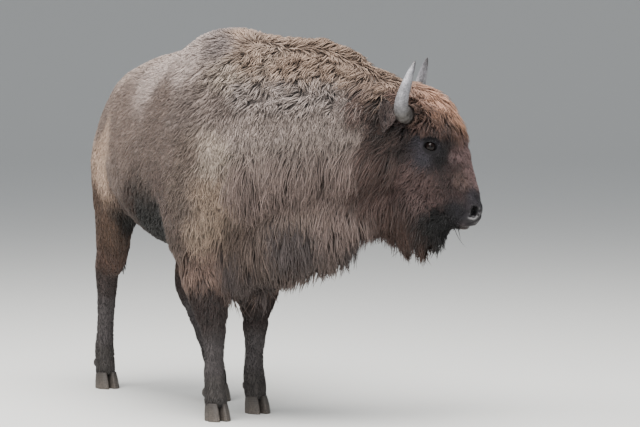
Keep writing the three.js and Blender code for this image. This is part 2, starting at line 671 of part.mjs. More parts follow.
function dewclaw(foot, outer) {
  const nub = new THREE.SphereGeometry(1, 6, 4).scale(16, 12, 20);
  nub.rotateY(0.5);
  return solidOf(nub.translate(foot.x - DEWCLAW.behind, foot.y + outer * DEWCLAW.apart, DEWCLAW.height));
}

// ---------------------------------------------------------------- the body's parts
const horns = SIDES.map(({ sign }) => horn(sign));
const ears = SIDES.map(({ sign }) => ear(sign));
const eyes = SIDES.map(({ sign }) => eyeball(sign));

const trunkEnds = [flipped(NECK_CUT), THIGH_CUT, BELLY_CUT, flipped(TAIL_CUT)];
const neckEnds = [NECK_CUT, flipped(HEAD_CUT)];
const trunkPart = bodyPart(at(-1180, -420, 560), at(560, 420, 1760), CELL.trunk, trunkEnds);
const neckPart = bodyPart(at(200, -330, 640), at(1000, 860, 1720), CELL.neck, neckEnds);
let headPart = bodyPart(at(380, 180, 640), at(1260, 1180, 1580), CELL.head, [HEAD_CUT]);
for (const piece of [...horns, ...ears, ...eyes]) headPart = headPart.subtract(grown(piece, SET_IN));
for (const { sign } of SIDES) headPart = headPart.subtract(nostril(sign));
headPart = largest(headPart);

addPiece("trunk", trunkPart, HIDE.flank);
addPiece("neck", neckPart, HIDE.neck);
addPiece("head", headPart, HIDE.head);
SIDES.forEach(({ side }, i) => {
  addPiece(`${side}_horn`, horns[i], HORN_MATERIAL);
  addPiece(`${side}_ear`, ears[i], HIDE.head);
  addPiece(`${side}_eye`, eyes[i], EYE_MATERIAL);
});

// The legs, each in an upper and a lower length, with two claws and two dewclaws at its foot.
const FRONT_END = { feet: FRONT_FEET, span: [-60, 480], top: 680, cell: CELL.foreleg };
const HIND_END = { feet: HIND_FEET, span: [-1120, -180], top: 1240, cell: CELL.hindleg };
const LEG_ENDS = {
  front: { ...FRONT_END, root: BELLY_CUT, joint: KNEE_CUT },
  hind: { ...HIND_END, root: THIGH_CUT, joint: HOCK_CUT },
};
const upperLegs = [];
for (const { side, sign } of SIDES)
  for (const [end, { feet, span, top, cell, root, joint }] of Object.entries(LEG_ENDS)) {
    const name = `${side}_${end}`;
    const foot = feet[side];
    const middle = sign > 0 ? COMMON_MIDDLE : flipped(COMMON_MIDDLE);
    const [x0, x1] = span;
    const [y0, y1] = sign > 0 ? [-60, 400] : [-400, 60];
    const claws = [-1, 1].map((outer) => claw(foot, outer));
    const dewclaws = [-1, 1].map((outer) => dewclaw(foot, outer));
    const upper = bodyPart(at(x0, y0, 360), at(x1, y1, top), cell, [flipped(root), middle, joint]);
    const lowerEnds = [flipped(joint), middle, CORONET_CUT];
    let lower = bodyPart(at(x0, y0, 0), at(x1, y1, 500), CELL.shank, lowerEnds);
    for (const piece of dewclaws) lower = lower.subtract(grown(piece, SET_IN));
    addPiece(`${name}_upper_leg`, upper, HIDE.leg);
    addPiece(`${name}_lower_leg`, largest(lower), HIDE.leg);
    upperLegs.push(upper);
    ["inner", "outer"].forEach((which) => {
      const i = (which === "outer") === sign > 0 ? 1 : 0;
      addPiece(`${name}_${which}_claw`, claws[i], HOOF_MATERIAL);
      addPiece(`${name}_${which}_dewclaw`, dewclaws[i], HOOF_MATERIAL);
    });
  }

// Hanging hair, cut away where it meets the body, which is also nudged each way so that no faces touch.
const NUDGES = [-1, 1].flatMap((way) =>
  [0, 1, 2].map((axis) => [0, 1, 2].map((k) => (k === axis ? (way * HAIR_GAP) / 2 : 0))),
);

function hair(field, low, high, cell, neighbours) {
  const nudged = (part) => NUDGES.map((nudge) => part.translate(nudge));
  const widened = neighbours.flatMap((part) => [part, grown(part, HAIR_GAP), ...nudged(part)]);
  return largest(surfaceOf(field, low, high, cell).subtract(wasm.Manifold.union(widened))).simplify(SLIVER);
}

const tailPart = bodyPart(at(-1180, -60, 660), at(-980, 90, 1340), CELL.tail, [TAIL_CUT, TUFT_CUT]);
const tuftPart = hair(tailTuft, at(-1190, -80, 420), at(-1000, 110, 900), CELL.tuft, [tailPart]);
const maneNeighbours = [trunkPart, neckPart, headPart, ...upperLegs];
const manePart = hair(maneField, at(0, -220, 400), at(860, 620, 1200), CELL.mane, maneNeighbours);
const beardNeighbours = [headPart, neckPart, manePart];
const beardPart = hair(beardField, at(560, 400, 560), at(1140, 1060, 1300), CELL.beard, beardNeighbours);
addPiece("tail", tailPart, HIDE.flank);
addPiece("tail_tuft", tuftPart, HIDE.beard);
addPiece("throat_mane", manePart, HIDE.mane);
addPiece("beard", beardPart, HIDE.beard);

export default pieces;
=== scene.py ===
"""A life-size wisent cow: hide, coat, horns, ears, eyes, hooves, floor, light and camera.

The hide is one mesh, made from the frame's flesh solids and drawn in by the depth of the coat.
The coat is thousands of small closed locks of hair, rooted on the hide and combed by a table of guides.
Lengths are metres. Places on the body are measured from the floor under the hump, X forward and Y to the
animal's left; places on the head run along the face, above it, and out to the left.
"""

import math

import bmesh
import bpy
import numpy as np
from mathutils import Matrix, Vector, noise
from mathutils.bvhtree import BVHTree
from mathutils.kdtree import KDTree


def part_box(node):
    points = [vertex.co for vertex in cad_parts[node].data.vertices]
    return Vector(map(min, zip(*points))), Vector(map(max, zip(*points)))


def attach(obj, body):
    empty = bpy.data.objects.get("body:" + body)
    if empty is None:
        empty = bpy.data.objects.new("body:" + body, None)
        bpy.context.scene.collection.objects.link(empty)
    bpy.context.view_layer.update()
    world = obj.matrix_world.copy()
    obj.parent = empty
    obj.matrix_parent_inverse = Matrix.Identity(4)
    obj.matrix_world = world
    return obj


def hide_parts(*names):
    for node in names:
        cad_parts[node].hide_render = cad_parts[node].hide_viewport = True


bl_info = {
    "name": "Wisent",
    "version": (1, 0, 0),
    "blender": (4, 5, 0),
    "location": "3D View > Sidebar > Wisent",
    "description": "Builds the hide, coat, horns, eyes, hooves and stage of a life-size wisent",
    "category": "Object",
}

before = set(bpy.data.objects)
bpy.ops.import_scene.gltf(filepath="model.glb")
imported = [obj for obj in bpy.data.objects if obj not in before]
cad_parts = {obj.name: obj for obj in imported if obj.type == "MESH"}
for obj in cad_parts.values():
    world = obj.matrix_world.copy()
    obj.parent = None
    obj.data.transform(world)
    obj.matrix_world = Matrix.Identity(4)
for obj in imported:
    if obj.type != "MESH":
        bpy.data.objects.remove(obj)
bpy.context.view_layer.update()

# ------------------------------------------------------------------------------ places
# Feet are given as x and y, stifles and hocks as x and height, and the neck as x, y and its crest's height.
FORE_TOE = (0.360, -0.1762)  # front and right edge of the right fore hoof, from under the hump
_toe_low, _toe_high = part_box("right_front_outer_claw")
UNDER_HUMP = np.array([_toe_high[0] - FORE_TOE[0], _toe_low[1] - FORE_TOE[1], 0.0])

FEET = {
    "right_front": (0.270, -0.125),
    "left_front": (0.125, 0.125),
    "right_hind": (-0.940, -0.140),
    "left_hind": (-0.320, 0.140),
}
STIFLES = {"right_hind": (-0.770, 0.800), "left_hind": (-0.610, 0.790)}
HOCKS = {"right_hind": (-0.905, 0.470), "left_hind": (-0.645, 0.470)}
NECK = [
    (0.345, 0.070, 1.622),
    (0.465, 0.172, 1.596),
    (0.550, 0.273, 1.592),
    (0.608, 0.358, 1.546),
    (0.676, 0.494, 1.442),
]
MIDLINE = [(0.15, 0.0), *((x, y) for x, y, _top in NECK), (0.76, 0.62)]  # x and y, from the hump to the chin

HEAD_TURN = math.radians(57)
HEAD_PITCH = math.radians(59)
EYE_PLACE = (0.211, -0.052)  # along the face, and above the poll


def middle_of(node):
    """The middle of a node's box."""
    low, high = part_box(node)
    return (np.array(low) + np.array(high)) / 2


def unit(v):
    """A vector, or rows of vectors, at length one."""
    v = np.asarray(v, float)
    return v / np.maximum(np.linalg.norm(v, axis=-1, keepdims=True), 1e-9)


EYES = {"right": middle_of("right_eye"), "left": middle_of("left_eye")}
LEFT = unit(EYES["left"] - EYES["right"])
_along = np.array(
    [
        math.cos(HEAD_TURN) * math.cos(HEAD_PITCH),
        math.sin(HEAD_TURN) * math.cos(HEAD_PITCH),
        -math.sin(HEAD_PITCH),
    ]
)
ALONG = unit(_along - LEFT * (_along @ LEFT))
ABOVE = np.cross(ALONG, LEFT)
POLL = (EYES["left"] + EYES["right"]) / 2 - ALONG * EYE_PLACE[0] - ABOVE * EYE_PLACE[1]
SIDES = {"right": -1, "left": 1}
DOWN = np.array([0.0, 0.0, -1.0])


def on_body(x, y, z):
    """A place measured from the floor under the hump."""
    return np.array([x, y, z]) + UNDER_HUMP


def on_head(along, above, out=0.0):
    """A place measured from the poll, in the head's own directions."""
    return POLL + ALONG * along + ABOVE * above + LEFT * out


def head_way(along, above, out=0.0):
    """A direction in the head's own directions."""
    return unit(ALONG * along + ABOVE * above + LEFT * out)


def linear(hex_colour):
    """A colour written as #rrggbb, as linear red, green and blue."""
    parts = [int(hex_colour[i : i + 2], 16) / 255 for i in (1, 3, 5)]
    return np.array([p / 12.92 if p <= 0.04045 else ((p + 0.055) / 1.055) ** 2.4 for p in parts])


# ------------------------------------------------------------------------------ the coat's guides
# Each kind of hair: depth of the coat, length and width of a lock, how much of the depth its tip climbs,
# curl, clumping, spacing of the roots, and how freely it hangs.
HAIR = {
    "sleek": (0.009, 0.034, 0.0052, 0.75, 0.15, 0.30, 0.0112, 0.0),
    "back": (0.010, 0.034, 0.0048, 0.80, 0.25, 0.40, 0.0104, 0.0),
    "belly": (0.018, 0.060, 0.0075, 0.80, 0.30, 0.40, 0.0135, 0.1),
    "shoulder": (0.015, 0.042, 0.0047, 0.85, 0.40, 0.50, 0.0094, 0.0),
    "hump": (0.014, 0.036, 0.0044, 0.85, 0.30, 0.35, 0.0090, 0.0),
    "curls": (0.030, 0.058, 0.0058, 1.00, 0.80, 0.85, 0.0096, 0.0),
    "curly": (0.034, 0.066, 0.0068, 1.00, 0.90, 0.95, 0.0096, 0.0),
    "strands": (0.036, 0.165, 0.0062, 0.85, 0.60, 0.65, 0.0120, 0.6),
    "mane": (0.050, 0.240, 0.0062, 0.85, 0.60, 0.65, 0.0122, 1.0),
    "beard": (0.036, 0.180, 0.0054, 0.85, 0.50, 0.70, 0.0092, 1.0),
    "crest": (0.026, 0.066, 0.0050, 0.95, 0.45, 0.45, 0.0084, 0.0),
    "forelock": (0.030, 0.075, 0.0056, 1.00, 0.50, 0.65, 0.0084, 0.0),
    "face": (0.006, 0.020, 0.0038, 0.80, 0.20, 0.25, 0.0076, 0.0),
    "cheek": (0.017, 0.046, 0.0052, 0.90, 0.55, 0.75, 0.0088, 0.0),
    "nap": (0.004, 0.012, 0.0030, 0.70, 0.10, 0.15, 0.0066, 0.0),
    "bare": (0.002, 0.006, 0.0020, 0.60, 0.05, 0.05, 0.0300, 0.0),
    "breeches": (0.026, 0.078, 0.0068, 0.90, 0.40, 0.60, 0.0108, 0.1),
    "forearm": (0.015, 0.052, 0.0060, 0.85, 0.30, 0.50, 0.0108, 0.0),
    "collar": (0.030, 0.062, 0.0056, 1.80, 0.40, 0.50, 0.0074, 0.0),
    "leg": (0.007, 0.028, 0.0050, 0.80, 0.20, 0.30, 0.0100, 0.0),
    "shin": (0.004, 0.016, 0.0040, 0.80, 0.15, 0.25, 0.0092, 0.0),
    "tail": (0.006, 0.040, 0.0055, 0.80, 0.20, 0.30, 0.0100, 0.0),
    "tuft": (0.012, 0.150, 0.0065, 0.80, 0.40, 0.60, 0.0095, 1.0),
    "horn collar": (0.016, 0.046, 0.0050, 1.10, 0.50, 0.60, 0.0066, 0.0),
    "ear": (0.003, 0.034, 0.0040, 1.50, 0.45, 0.35, 0.0056, 0.0),
}

# Some tones are partly painted light: croup and saddle are lighter with painted light from above, and low
# flank, groin and belly darker with painted shade underneath.
TONES = {
    "croup": "#ab9a90",
    "rump": "#84736a",
    "buttock": "#c3a894",
    "flank": "#7c6c64",
    "low flank": "#6b5b54",
    "belly": "#110d09",
    "thigh": "#5a473b",
    "groin": "#403029",
    "saddle": "#bdada5",
    "hump": "#847874",
    "sand": "#7d6f68",
    "shoulder": "#b0a092",
    "shoulder's edge": "#77685f",
    # shoulder's edge and fold are darker partly as painted shade under the shoulder's coat, behind the elbow
    # and at the breast
    "low shoulder": "#a89280",
    "fold": "#63544c",
    "curls": "#a1948e",
    "neck": "#9f9088",
    "throat": "#83716a",
    "mane": "#544a48",
    "fringe": "#6c5e58",
    "behind the cheek": "#58453f",
    "crest": "#9d8574",
    "rust": "#d2a389",
    "forelock": "#c39579",
    "fringe hair": "#80665a",
    "fringe end": "#5c463f",
    "collar": "#644e44",
    # brow and before the eye are darker partly as painted shadow under the overhanging brow, which the guide
    # above the eye also uses
    "brow": "#1f1514",
    "temple": "#2f2422",
    "cheek": "#705a56",
    "face": "#423332",
    "bridge": "#7f6765",
    "ruff": "#68544d",
    "eye": "#38353b",
    "before the eye": "#050406",
    "muzzle": "#1e1c20",
    "nose": "#2c292e",
    "lip": "#443330",
    "chin": "#060606",
    "beard": "#463229",
    "forearm": "#302523",
    "breeches": "#91786c",
    "knee": "#3a312f",
    "shin": "#464141",
    "fetlock": "#3d3937",
    "gaskin": "#57433a",
    "tail": "#5d4c40",
    "tuft": "#2f2520",
}


# Down the trunk: name, piece, place (mirrored to both sides), lie, kind of hair, tone.
TRUNK_GUIDES = [
    ("croup", "rump", (-0.88, 0.00, 1.44), (-1, 0, -0.3), "sleek", "croup"),
    ("top of the rump", "rump", (-1.00, 0.10, 1.32), (-0.6, 0, -0.8), "sleek", "croup"),
    ("buttock", "rump", (-1.07, 0.10, 1.06), (-0.1, 0, -1), "sleek", "buttock"),
    ("under the tail", "rump", (-1.02, 0.03, 0.92), (0, 0, -1), "sleek", "groin"),
    ("hip", "rump", (-0.76, 0.22, 1.26), (-0.8, 0, -0.6), "sleek", "rump"),
    ("hips' top", "rump", (-0.70, 0.00, 1.48), (-1, 0, 0), "sleek", "croup"),
    ("haunch", "rump", (-0.70, 0.25, 0.98), (-0.5, 0, -0.9), "sleek", "buttock"),
    ("haunch's top", "rump", (-0.66, 0.26, 1.12), (-0.6, 0, -0.8), "sleek", "buttock"),
    ("loin", "rump", (-0.50, 0.00, 1.52), (-1, 0, 0), "back", "croup"),
    ("side of the loin", "rump", (-0.48, 0.26, 1.28), (-0.8, 0, -0.6), "sleek", "rump"),
    ("back", "flank", (-0.30, 0.00, 1.545), (-1, 0, 0), "back", "croup"),
    ("side of the back", "flank", (-0.21, 0.17, 1.45), (-0.9, 0, -0.4), "back", "saddle"),
    ("ribs", "flank", (-0.34, 0.30, 1.15), (-0.75, 0, -0.65), "sleek", "rump"),
    ("low ribs", "flank", (-0.36, 0.29, 1.01), (-0.6, 0, -0.8), "sleek", "flank"),
    ("flank's hollow", "rump", (-0.56, 0.25, 0.98), (-0.6, 0, -0.8), "sleek", "flank"),
    ("flank fold", "flank", (-0.52, 0.24, 0.84), (-0.4, 0, -0.9), "belly", "groin"),
    ("low flank", "flank", (-0.30, 0.28, 0.90), (-0.6, 0, -0.8), "belly", "groin"),
    ("belly's side", "flank", (-0.18, 0.26, 0.82), (-0.7, 0, -0.7), "belly", "belly"),
    ("belly's front", "flank", (-0.03, 0.25, 0.80), (-0.7, 0, -0.7), "belly", "belly"),
    ("belly", "flank", (-0.34, 0.00, 0.69), (-1, 0, -0.3), "belly", "belly"),
    ("groin", "rump", (-0.66, 0.12, 0.80), (-0.4, 0, -0.9), "belly", "belly"),
    ("thigh", "rump", (-0.80, 0.21, 0.88), (-0.05, 0, -1), "sleek", "thigh"),
    ("low thigh", "rump", (-0.72, 0.21, 0.76), (0.05, 0, -1), "leg", "thigh"),
    ("saddle", "flank", (-0.13, 0.00, 1.59), (-1, 0, 0), "back", "saddle"),
    ("upper side", "flank", (0.02, 0.26, 1.33), (-0.8, 0, -0.6), "back", "flank"),
    ("side", "flank", (0.03, 0.31, 1.12), (-0.75, 0, -0.65), "back", "flank"),
    ("side's front", "flank", (0.22, 0.31, 1.12), (-0.75, 0, -0.65), "back", "flank"),
    ("under the side", "flank", (0.05, 0.28, 0.86), (-0.6, 0, -0.8), "belly", "belly"),
    ("lower side", "flank", (0.10, 0.31, 0.98), (-0.6, 0, -0.8), "back", "low flank"),
    ("behind the shoulder's foot", "flank", (0.18, 0.30, 0.86), (-0.6, 0, -0.8), "belly", "low flank"),
    ("rise of the hump", "shoulder", (0.00, 0.00, 1.63), (-0.8, 0, 0.1), "hump", "saddle"),
    ("hump", "shoulder", (0.15, 0.00, 1.645), (-0.7, 0, 0.2), "hump", "hump"),
    ("hump's side", "shoulder", (0.14, 0.18, 1.50), (-0.7, 0, -0.7), "shoulder", "saddle"),
    ("hump's front", "shoulder", (0.28, 0.08, 1.58), (-0.6, 0, -0.5), "hump", "hump"),
    ("front of the side", "shoulder", (0.40, 0.09, 1.46), (-0.55, 0, -0.8), "curls", "shoulder"),
    ("shoulder's top", "shoulder", (0.26, 0.25, 1.30), (-0.6, 0, -0.8), "shoulder", "sand"),
    ("upper shoulder", "shoulder", (0.40, 0.16, 1.32), (-0.5, 0, -0.85), "shoulder", "sand"),
    ("shoulder's rear edge", "shoulder", (0.34, 0.28, 1.12), (-0.65, 0, -0.8), "shoulder", "shoulder's edge"),
    ("shoulder's low edge", "shoulder", (0.30, 0.30, 0.93), (-0.5, 0, -0.9), "shoulder", "shoulder's edge"),
    ("behind the elbow", "shoulder", (0.20, 0.28, 0.76), (-0.4, 0, -0.9), "breeches", "fold"),
    ("shoulder", "shoulder", (0.44, 0.20, 1.13), (-0.3, 0, -1), "shoulder", "shoulder"),
    ("low shoulder", "shoulder", (0.42, 0.20, 0.94), (-0.15, 0, -1), "shoulder", "low shoulder"),
    ("point of the shoulder", "shoulder", (0.36, 0.20, 0.80), (-0.1, 0, -1), "breeches", "low shoulder"),
    ("breast", "mane", (0.42, 0.06, 0.78), (0, 0, -1), "strands", "fold"),
    ("withers", "shoulder", (0.30, 0.02, 1.63), (-0.5, 0, 0.1), "hump", "crest"),
    ("between the forelegs", "mane", (0.15, 0.00, 0.68), (-0.2, 0, -1), "belly", "belly"),
]

# Across the neck at each of its places: name, share of the way down, out, lie (forward, out, up), hair, tone.
NECK_GUIDES = [
    ("crest", 0.00, 0.00, (0.3, 0.0, 0.3), "crest", "crest"),
    ("below the crest", 0.12, 0.60, (-0.4, 0, -1), "curly", "crest"),
    ("upper side", 0.28, 0.88, (-0.35, 0, -1), "curly", "curls"),
    ("side", 0.50, 1.00, (-0.2, 0, -1), "shoulder", "neck"),
    ("lower side", 0.72, 0.95, (-0.1, 0, -1), "strands", "throat"),
]
NECK_END_TONES = {"curls": "throat", "neck": "behind the cheek", "throat": "behind the cheek"}
NECK_HALF_WIDTH = (0.216, 0.196, 0.182, 0.170, 0.154)
NECK_FLOOR = (0.80, 0.85, 0.88, 0.91, 0.96)

# Under the neck: name, place, lie, hair, tone.
MANE_GUIDES = [
    ("brisket", (0.36, 0.05, 0.62), (0.15, 0.05, -1), "mane", "mane"),
    ("brisket's right", (0.36, -0.08, 0.70), (0.1, 0, -1), "mane", "mane"),
    ("brisket's left", (0.27, 0.14, 0.70), (0.1, 0, -1), "mane", "mane"),
    ("base of the throat", (0.47, 0.14, 0.60), (0.1, 0.05, -1), "mane", "fringe"),
    ("throat's right", (0.56, 0.08, 0.80), (0.0, 0, -1), "strands", "mane"),
    ("throat's left", (0.38, 0.22, 0.80), (0.0, 0, -1), "strands", "mane"),
    ("throat", (0.57, 0.26, 0.68), (0.1, 0.05, -1), "mane", "fringe"),
    ("upper throat's right", (0.68, 0.28, 0.88), (0, 0, -1), "strands", "throat"),
    ("upper throat's left", (0.50, 0.38, 0.88), (0, 0, -1), "strands", "throat"),
    ("upper throat", (0.62, 0.36, 0.78), (0.1, 0.05, -1), "mane", "mane"),
    ("behind the jaw", (0.66, 0.44, 0.82), (0.1, 0.05, -1), "mane", "behind the cheek"),
    ("chest fringe", (0.36, 0.05, 0.50), (0.0, 0, -1), "mane", "fringe"),
]
BEARD_GUIDES = [
    ("under the cheek", (0.67, 0.50, 0.82), (0.1, 0, -1), "beard", "behind the cheek"),
    ("under the cheek, right", (0.74, 0.47, 0.86), (0.1, 0, -1), "beard", "beard"),
    ("longest hair", (0.75, 0.60, 0.74), (0.05, 0, -1), "beard", "beard"),
    ("longest hair, left", (0.66, 0.62, 0.80), (0.05, 0, -1), "beard", "beard"),
    ("under the chin", (0.79, 0.67, 0.80), (0.1, 0.1, -1), "beard", "chin"),
    ("chin", (0.81, 0.70, 0.84), (0.1, 0.1, -1), "beard", "chin"),
]

# On the head, mirrored: name, piece, place (along, above, out), lie (along, above, out), hair, tone.
HEAD_GUIDES = [
    ("poll", "forelock", (-0.07, 0.03, 0.00), (0.9, 0.4, 0.1), "crest", "rust"),
    ("poll's side", "forelock", (-0.06, -0.03, 0.09), (0.6, -0.2, 0.5), "crest", "fringe hair"),
    ("between the horns", "forelock", (0.03, 0.06, 0.00), (1.0, 0.3, 0.1), "forelock", "rust"),
    ("beside the horn", "forelock", (0.04, 0.03, 0.08), (0.8, -0.2, 0.5), "forelock", "rust"),
    ("forelock", "forelock", (0.10, 0.10, 0.00), (1.0, 0.1, 0.15), "forelock", "rust"),
    ("forelock's side", "forelock", (0.10, 0.050, 0.095), (0.8, -0.5, 0.5), "forelock", "fringe hair"),
    ("end of the forelock", "forelock", (0.160, 0.105, 0.02), (1.0, -0.2, 0.1), "forelock", "forelock"),
    ("fringe's side", "forelock", (0.150, 0.025, 0.105), (0.8, -0.5, 0.4), "forelock", "fringe end"),
    ("fringe's end", "forelock", (0.195, 0.080, 0.05), (1.0, -0.3, 0.1), "forelock", "fringe end"),
    ("brow", "head", (0.195, 0.030, 0.095), (0.8, -0.6, 0.3), "cheek", "brow"),
    ("before the horn", "forelock", (0.105, -0.030, 0.108), (0.8, -0.4, 0.4), "collar", "fringe end"),
    ("above the horn", "forelock", (0.040, 0.000, 0.095), (0.2, 0.6, 0.6), "collar", "fringe hair"),
    ("behind the horn", "forelock", (0.000, -0.055, 0.110), (-0.6, -0.2, 0.6), "collar", "fringe end"),
    ("under the horn", "head", (0.085, -0.085, 0.125), (0.4, -0.9, 0.1), "collar", "temple"),
    ("before the ear", "head", (0.05, -0.12, 0.145), (0.1, -1.0, 0.0), "cheek", "temple"),
    ("below the ear", "head", (0.07, -0.21, 0.16), (0.2, -1.0, 0.0), "cheek", "behind the cheek"),
    ("under the ear", "head", (0.00, -0.20, 0.14), (0.2, -1.0, 0.0), "cheek", "behind the cheek"),
    ("behind the ear", "neck", (-0.09, -0.16, 0.15), (-0.2, -1.0, 0.0), "strands", "behind the cheek"),
    ("above the eye", "head", (0.180, -0.020, 0.120), (0.5, -0.8, 0.1), "nap", "before the eye"),
    ("eye's lid", "head", (0.215, -0.025, 0.120), (0.6, -0.7, 0.1), "nap", "eye"),
    ("behind the eye", "head", (0.170, -0.075, 0.124), (-0.2, -1.0, 0.0), "nap", "eye"),
    ("eye's corner", "head", (0.250, -0.010, 0.105), (0.8, -0.5, 0.0), "face", "before the eye"),
    ("before the eye", "head", (0.285, -0.045, 0.102), (0.8, -0.5, 0.0), "nap", "before the eye"),
    ("under the eye", "head", (0.240, -0.105, 0.116), (0.5, -0.9, 0.0), "nap", "eye"),
    ("upper cheek", "head", (0.155, -0.150, 0.150), (0.2, -1.0, 0.0), "cheek", "temple"),
    ("cheek", "head", (0.240, -0.190, 0.120), (0.2, -1.0, 0.0), "cheek", "cheek"),
    ("cheek's rear", "head", (0.120, -0.230, 0.160), (0.1, -1.0, 0.0), "strands", "behind the cheek"),
    ("jaw", "head", (0.240, -0.270, 0.120), (0.2, -1.0, 0.0), "strands", "behind the cheek"),
    ("jaw's rear", "head", (0.160, -0.300, 0.180), (0.2, -1.0, 0.0), "strands", "behind the cheek"),
    ("front of the cheek", "head", (0.330, -0.150, 0.090), (0.3, -0.9, 0.0), "cheek", "cheek"),
    ("bridge", "head", (0.260, 0.070, 0.000), (1.0, -0.1, 0.05), "cheek", "bridge"),
    ("side of the bridge", "head", (0.290, 0.030, 0.065), (0.9, -0.5, 0.0), "cheek", "bridge"),
    ("below the bridge", "head", (0.330, -0.020, 0.085), (0.9, -0.5, 0.0), "face", "face"),
    ("nose", "head", (0.350, 0.045, 0.000), (1.0, 0, 0.05), "face", "bridge"),
    ("side of the nose", "head", (0.370, -0.060, 0.080), (0.8, -0.6, 0.0), "cheek", "face"),
    ("ruff beside the nose", "head", (0.375, -0.020, 0.075), (0.7, -0.6, 0.3), "cheek", "ruff"),
    ("front of the jaw", "head", (0.390, -0.150, 0.075), (0.4, -0.9, 0.0), "cheek", "cheek"),
    ("lower nose", "head", (0.420, 0.020, 0.000), (1.0, 0, 0.1), "face", "bridge"),
    ("side of the lower nose", "head", (0.430, -0.060, 0.070), (1.0, -0.4, 0.1), "face", "face"),
    ("above the nostril", "head", (0.475, -0.010, 0.045), (0.9, -0.2, 0.0), "nap", "nose"),
    ("muzzle's side", "head", (0.480, -0.100, 0.074), (0.7, -0.7, 0.0), "nap", "muzzle"),
    ("muzzle's low side", "head", (0.520, -0.110, 0.066), (0.7, -0.7, 0.0), "nap", "muzzle"),
    ("nose's tip", "head", (0.520, -0.015, 0.000), (1.0, 0, 0.1), "bare", "muzzle"),
    ("muzzle's front", "head", (0.580, -0.050, 0.000), (0.3, -1, 0), "bare", "muzzle"),
    ("below the nostril", "head", (0.565, -0.075, 0.050), (0.3, -1, 0.2), "bare", "muzzle"),
    ("upper lip", "head", (0.575, -0.095, 0.035), (0.3, -1, 0.2), "bare", "muzzle"),
    ("lower lip", "head", (0.575, -0.125, 0.030), (0.3, -1, 0.0), "bare", "lip"),
    ("lip's corner", "head", (0.520, -0.160, 0.060), (0.3, -1, 0.0), "nap", "chin"),
    ("chin's front", "head", (0.560, -0.170, 0.020), (0.2, -1, 0.0), "nap", "chin"),
    ("chin's side", "head", (0.460, -0.185, 0.070), (0.2, -1, 0.0), "cheek", "chin"),
    ("under the jaw", "head", (0.400, -0.205, 0.000), (0.1, -1, 0.0), "beard", "chin"),
]

# On every leg: name, height, kind of hair, tone. The upper fore leg wears breeches.
FORELEG_GUIDES = [
    ("upper arm", 0.72, "breeches", "breeches"),
    ("arm", 0.63, "breeches", "breeches"),
    ("forearm", 0.55, "forearm", "forearm"),
    ("lower forearm", 0.47, "forearm", "forearm"),
    ("knee", 0.39, "leg", "knee"),
    ("below the knee", 0.32, "shin", "shin"),
    ("cannon", 0.23, "shin", "shin"),
    ("fetlock", 0.13, "shin", "fetlock"),
    ("coronet", 0.08, "leg", "fetlock"),
]
HINDLEG_GUIDES = [
    ("stifle", 0.80, "leg", "gaskin"),
    ("gaskin", 0.63, "leg", "gaskin"),
    ("hock", 0.47, "shin", "knee"),
    ("below the hock", 0.37, "shin", "shin"),
    ("cannon", 0.26, "shin", "shin"),
    ("fetlock", 0.14, "shin", "fetlock"),
    ("coronet", 0.08, "leg", "fetlock"),
]
TAIL_GUIDES = [
    ("dock", (-1.11, 0.01, 1.20), (0, 0, -1), "tail", "tail"),
    ("middle of the dock", (-1.11, 0.01, 1.00), (0, 0, -1), "tail", "tail"),
    ("end of the dock", (-1.11, 0.014, 0.82), (0, 0, -1), "tail", "tuft"),
    ("tuft", (-1.10, 0.014, 0.68), (0, 0, -1), "tuft", "tuft"),
    ("tuft's end", (-1.10, 0.014, 0.54), (0, 0, -1), "tuft", "tuft"),
]


# ------------------------------------------------------------------------------ guides to fields
def trunk_guides():
    """The trunk's guides on both sides."""
    for _name, piece, (x, y, z), lie, hair, tone in TRUNK_GUIDES:
        for side in (1, -1) if y else (1,):
            yield piece, on_body(x, y * side, z), unit(lie), hair, tone


def neck_guides():
    """The neck's guides, across each of its places."""
    for k, (x, y, top) in enumerate(NECK):
        before, after = NECK[max(k - 1, 0)], NECK[min(k + 1, len(NECK) - 1)]
        forward = unit([after[0] - before[0], after[1] - before[1], 0])
        across = np.array([-forward[1], forward[0], 0])
        for _name, down, out, (ahead, _aside, up), hair, tone in NECK_GUIDES:
            z = top - (top - NECK_FLOOR[k]) * down
            for side in (1, -1) if out else (1,):
                place = on_body(x, y, z) + across * side * out * NECK_HALF_WIDTH[k]
                tone = NECK_END_TONES.get(tone, tone) if k == len(NECK) - 1 else tone
                yield "neck", place, unit(forward * ahead + np.array([0, 0, up])), hair, tone


def head_guides():
    """The head's guides on both sides."""
    for _name, piece, (along, above, out), lie, hair, tone in HEAD_GUIDES:
        for side in (1, -1) if out else (1,):
            place = on_head(along, above, out * side)
            yield piece, place, head_way(lie[0], lie[1], lie[2] * side), hair, tone


def leg_line(foot, z):
    """The middle of a leg at a height."""
    x, y = FEET[foot]
    if "front" in foot:
        knots = [(0.24, x), (0.90, 0.195)]
        across = [(0.24, y), (0.90, math.copysign(0.170, y))]
    else:
        hock, stifle = HOCKS[foot], STIFLES[foot]
        knots = [(0.16, x), (hock[1], hock[0]), (stifle[1], stifle[0])]
        across = [(0.16, y), (stifle[1], math.copysign(0.120, y))]
    return on_body(np.interp(z, *zip(*knots)), np.interp(z, *zip(*across)), z)


def leg_guides():
    """Every leg's guides, down its middle."""
    for foot in FEET:
        rows, piece = (FORELEG_GUIDES, "fore_legs") if "front" in foot else (HINDLEG_GUIDES, "hind_legs")
        for _name, z, hair, tone in rows:
            yield piece, leg_line(foot, z), DOWN, hair, tone


def hanging_guides():
    """The guides of the throat's mane, the beard and the tail."""
    for piece, rows in (("mane", MANE_GUIDES), ("beard", BEARD_GUIDES), ("tail", TAIL_GUIDES)):
        for _name, place, lie, hair, tone in rows:
            yield piece, on_body(*place), unit(lie), hair, tone


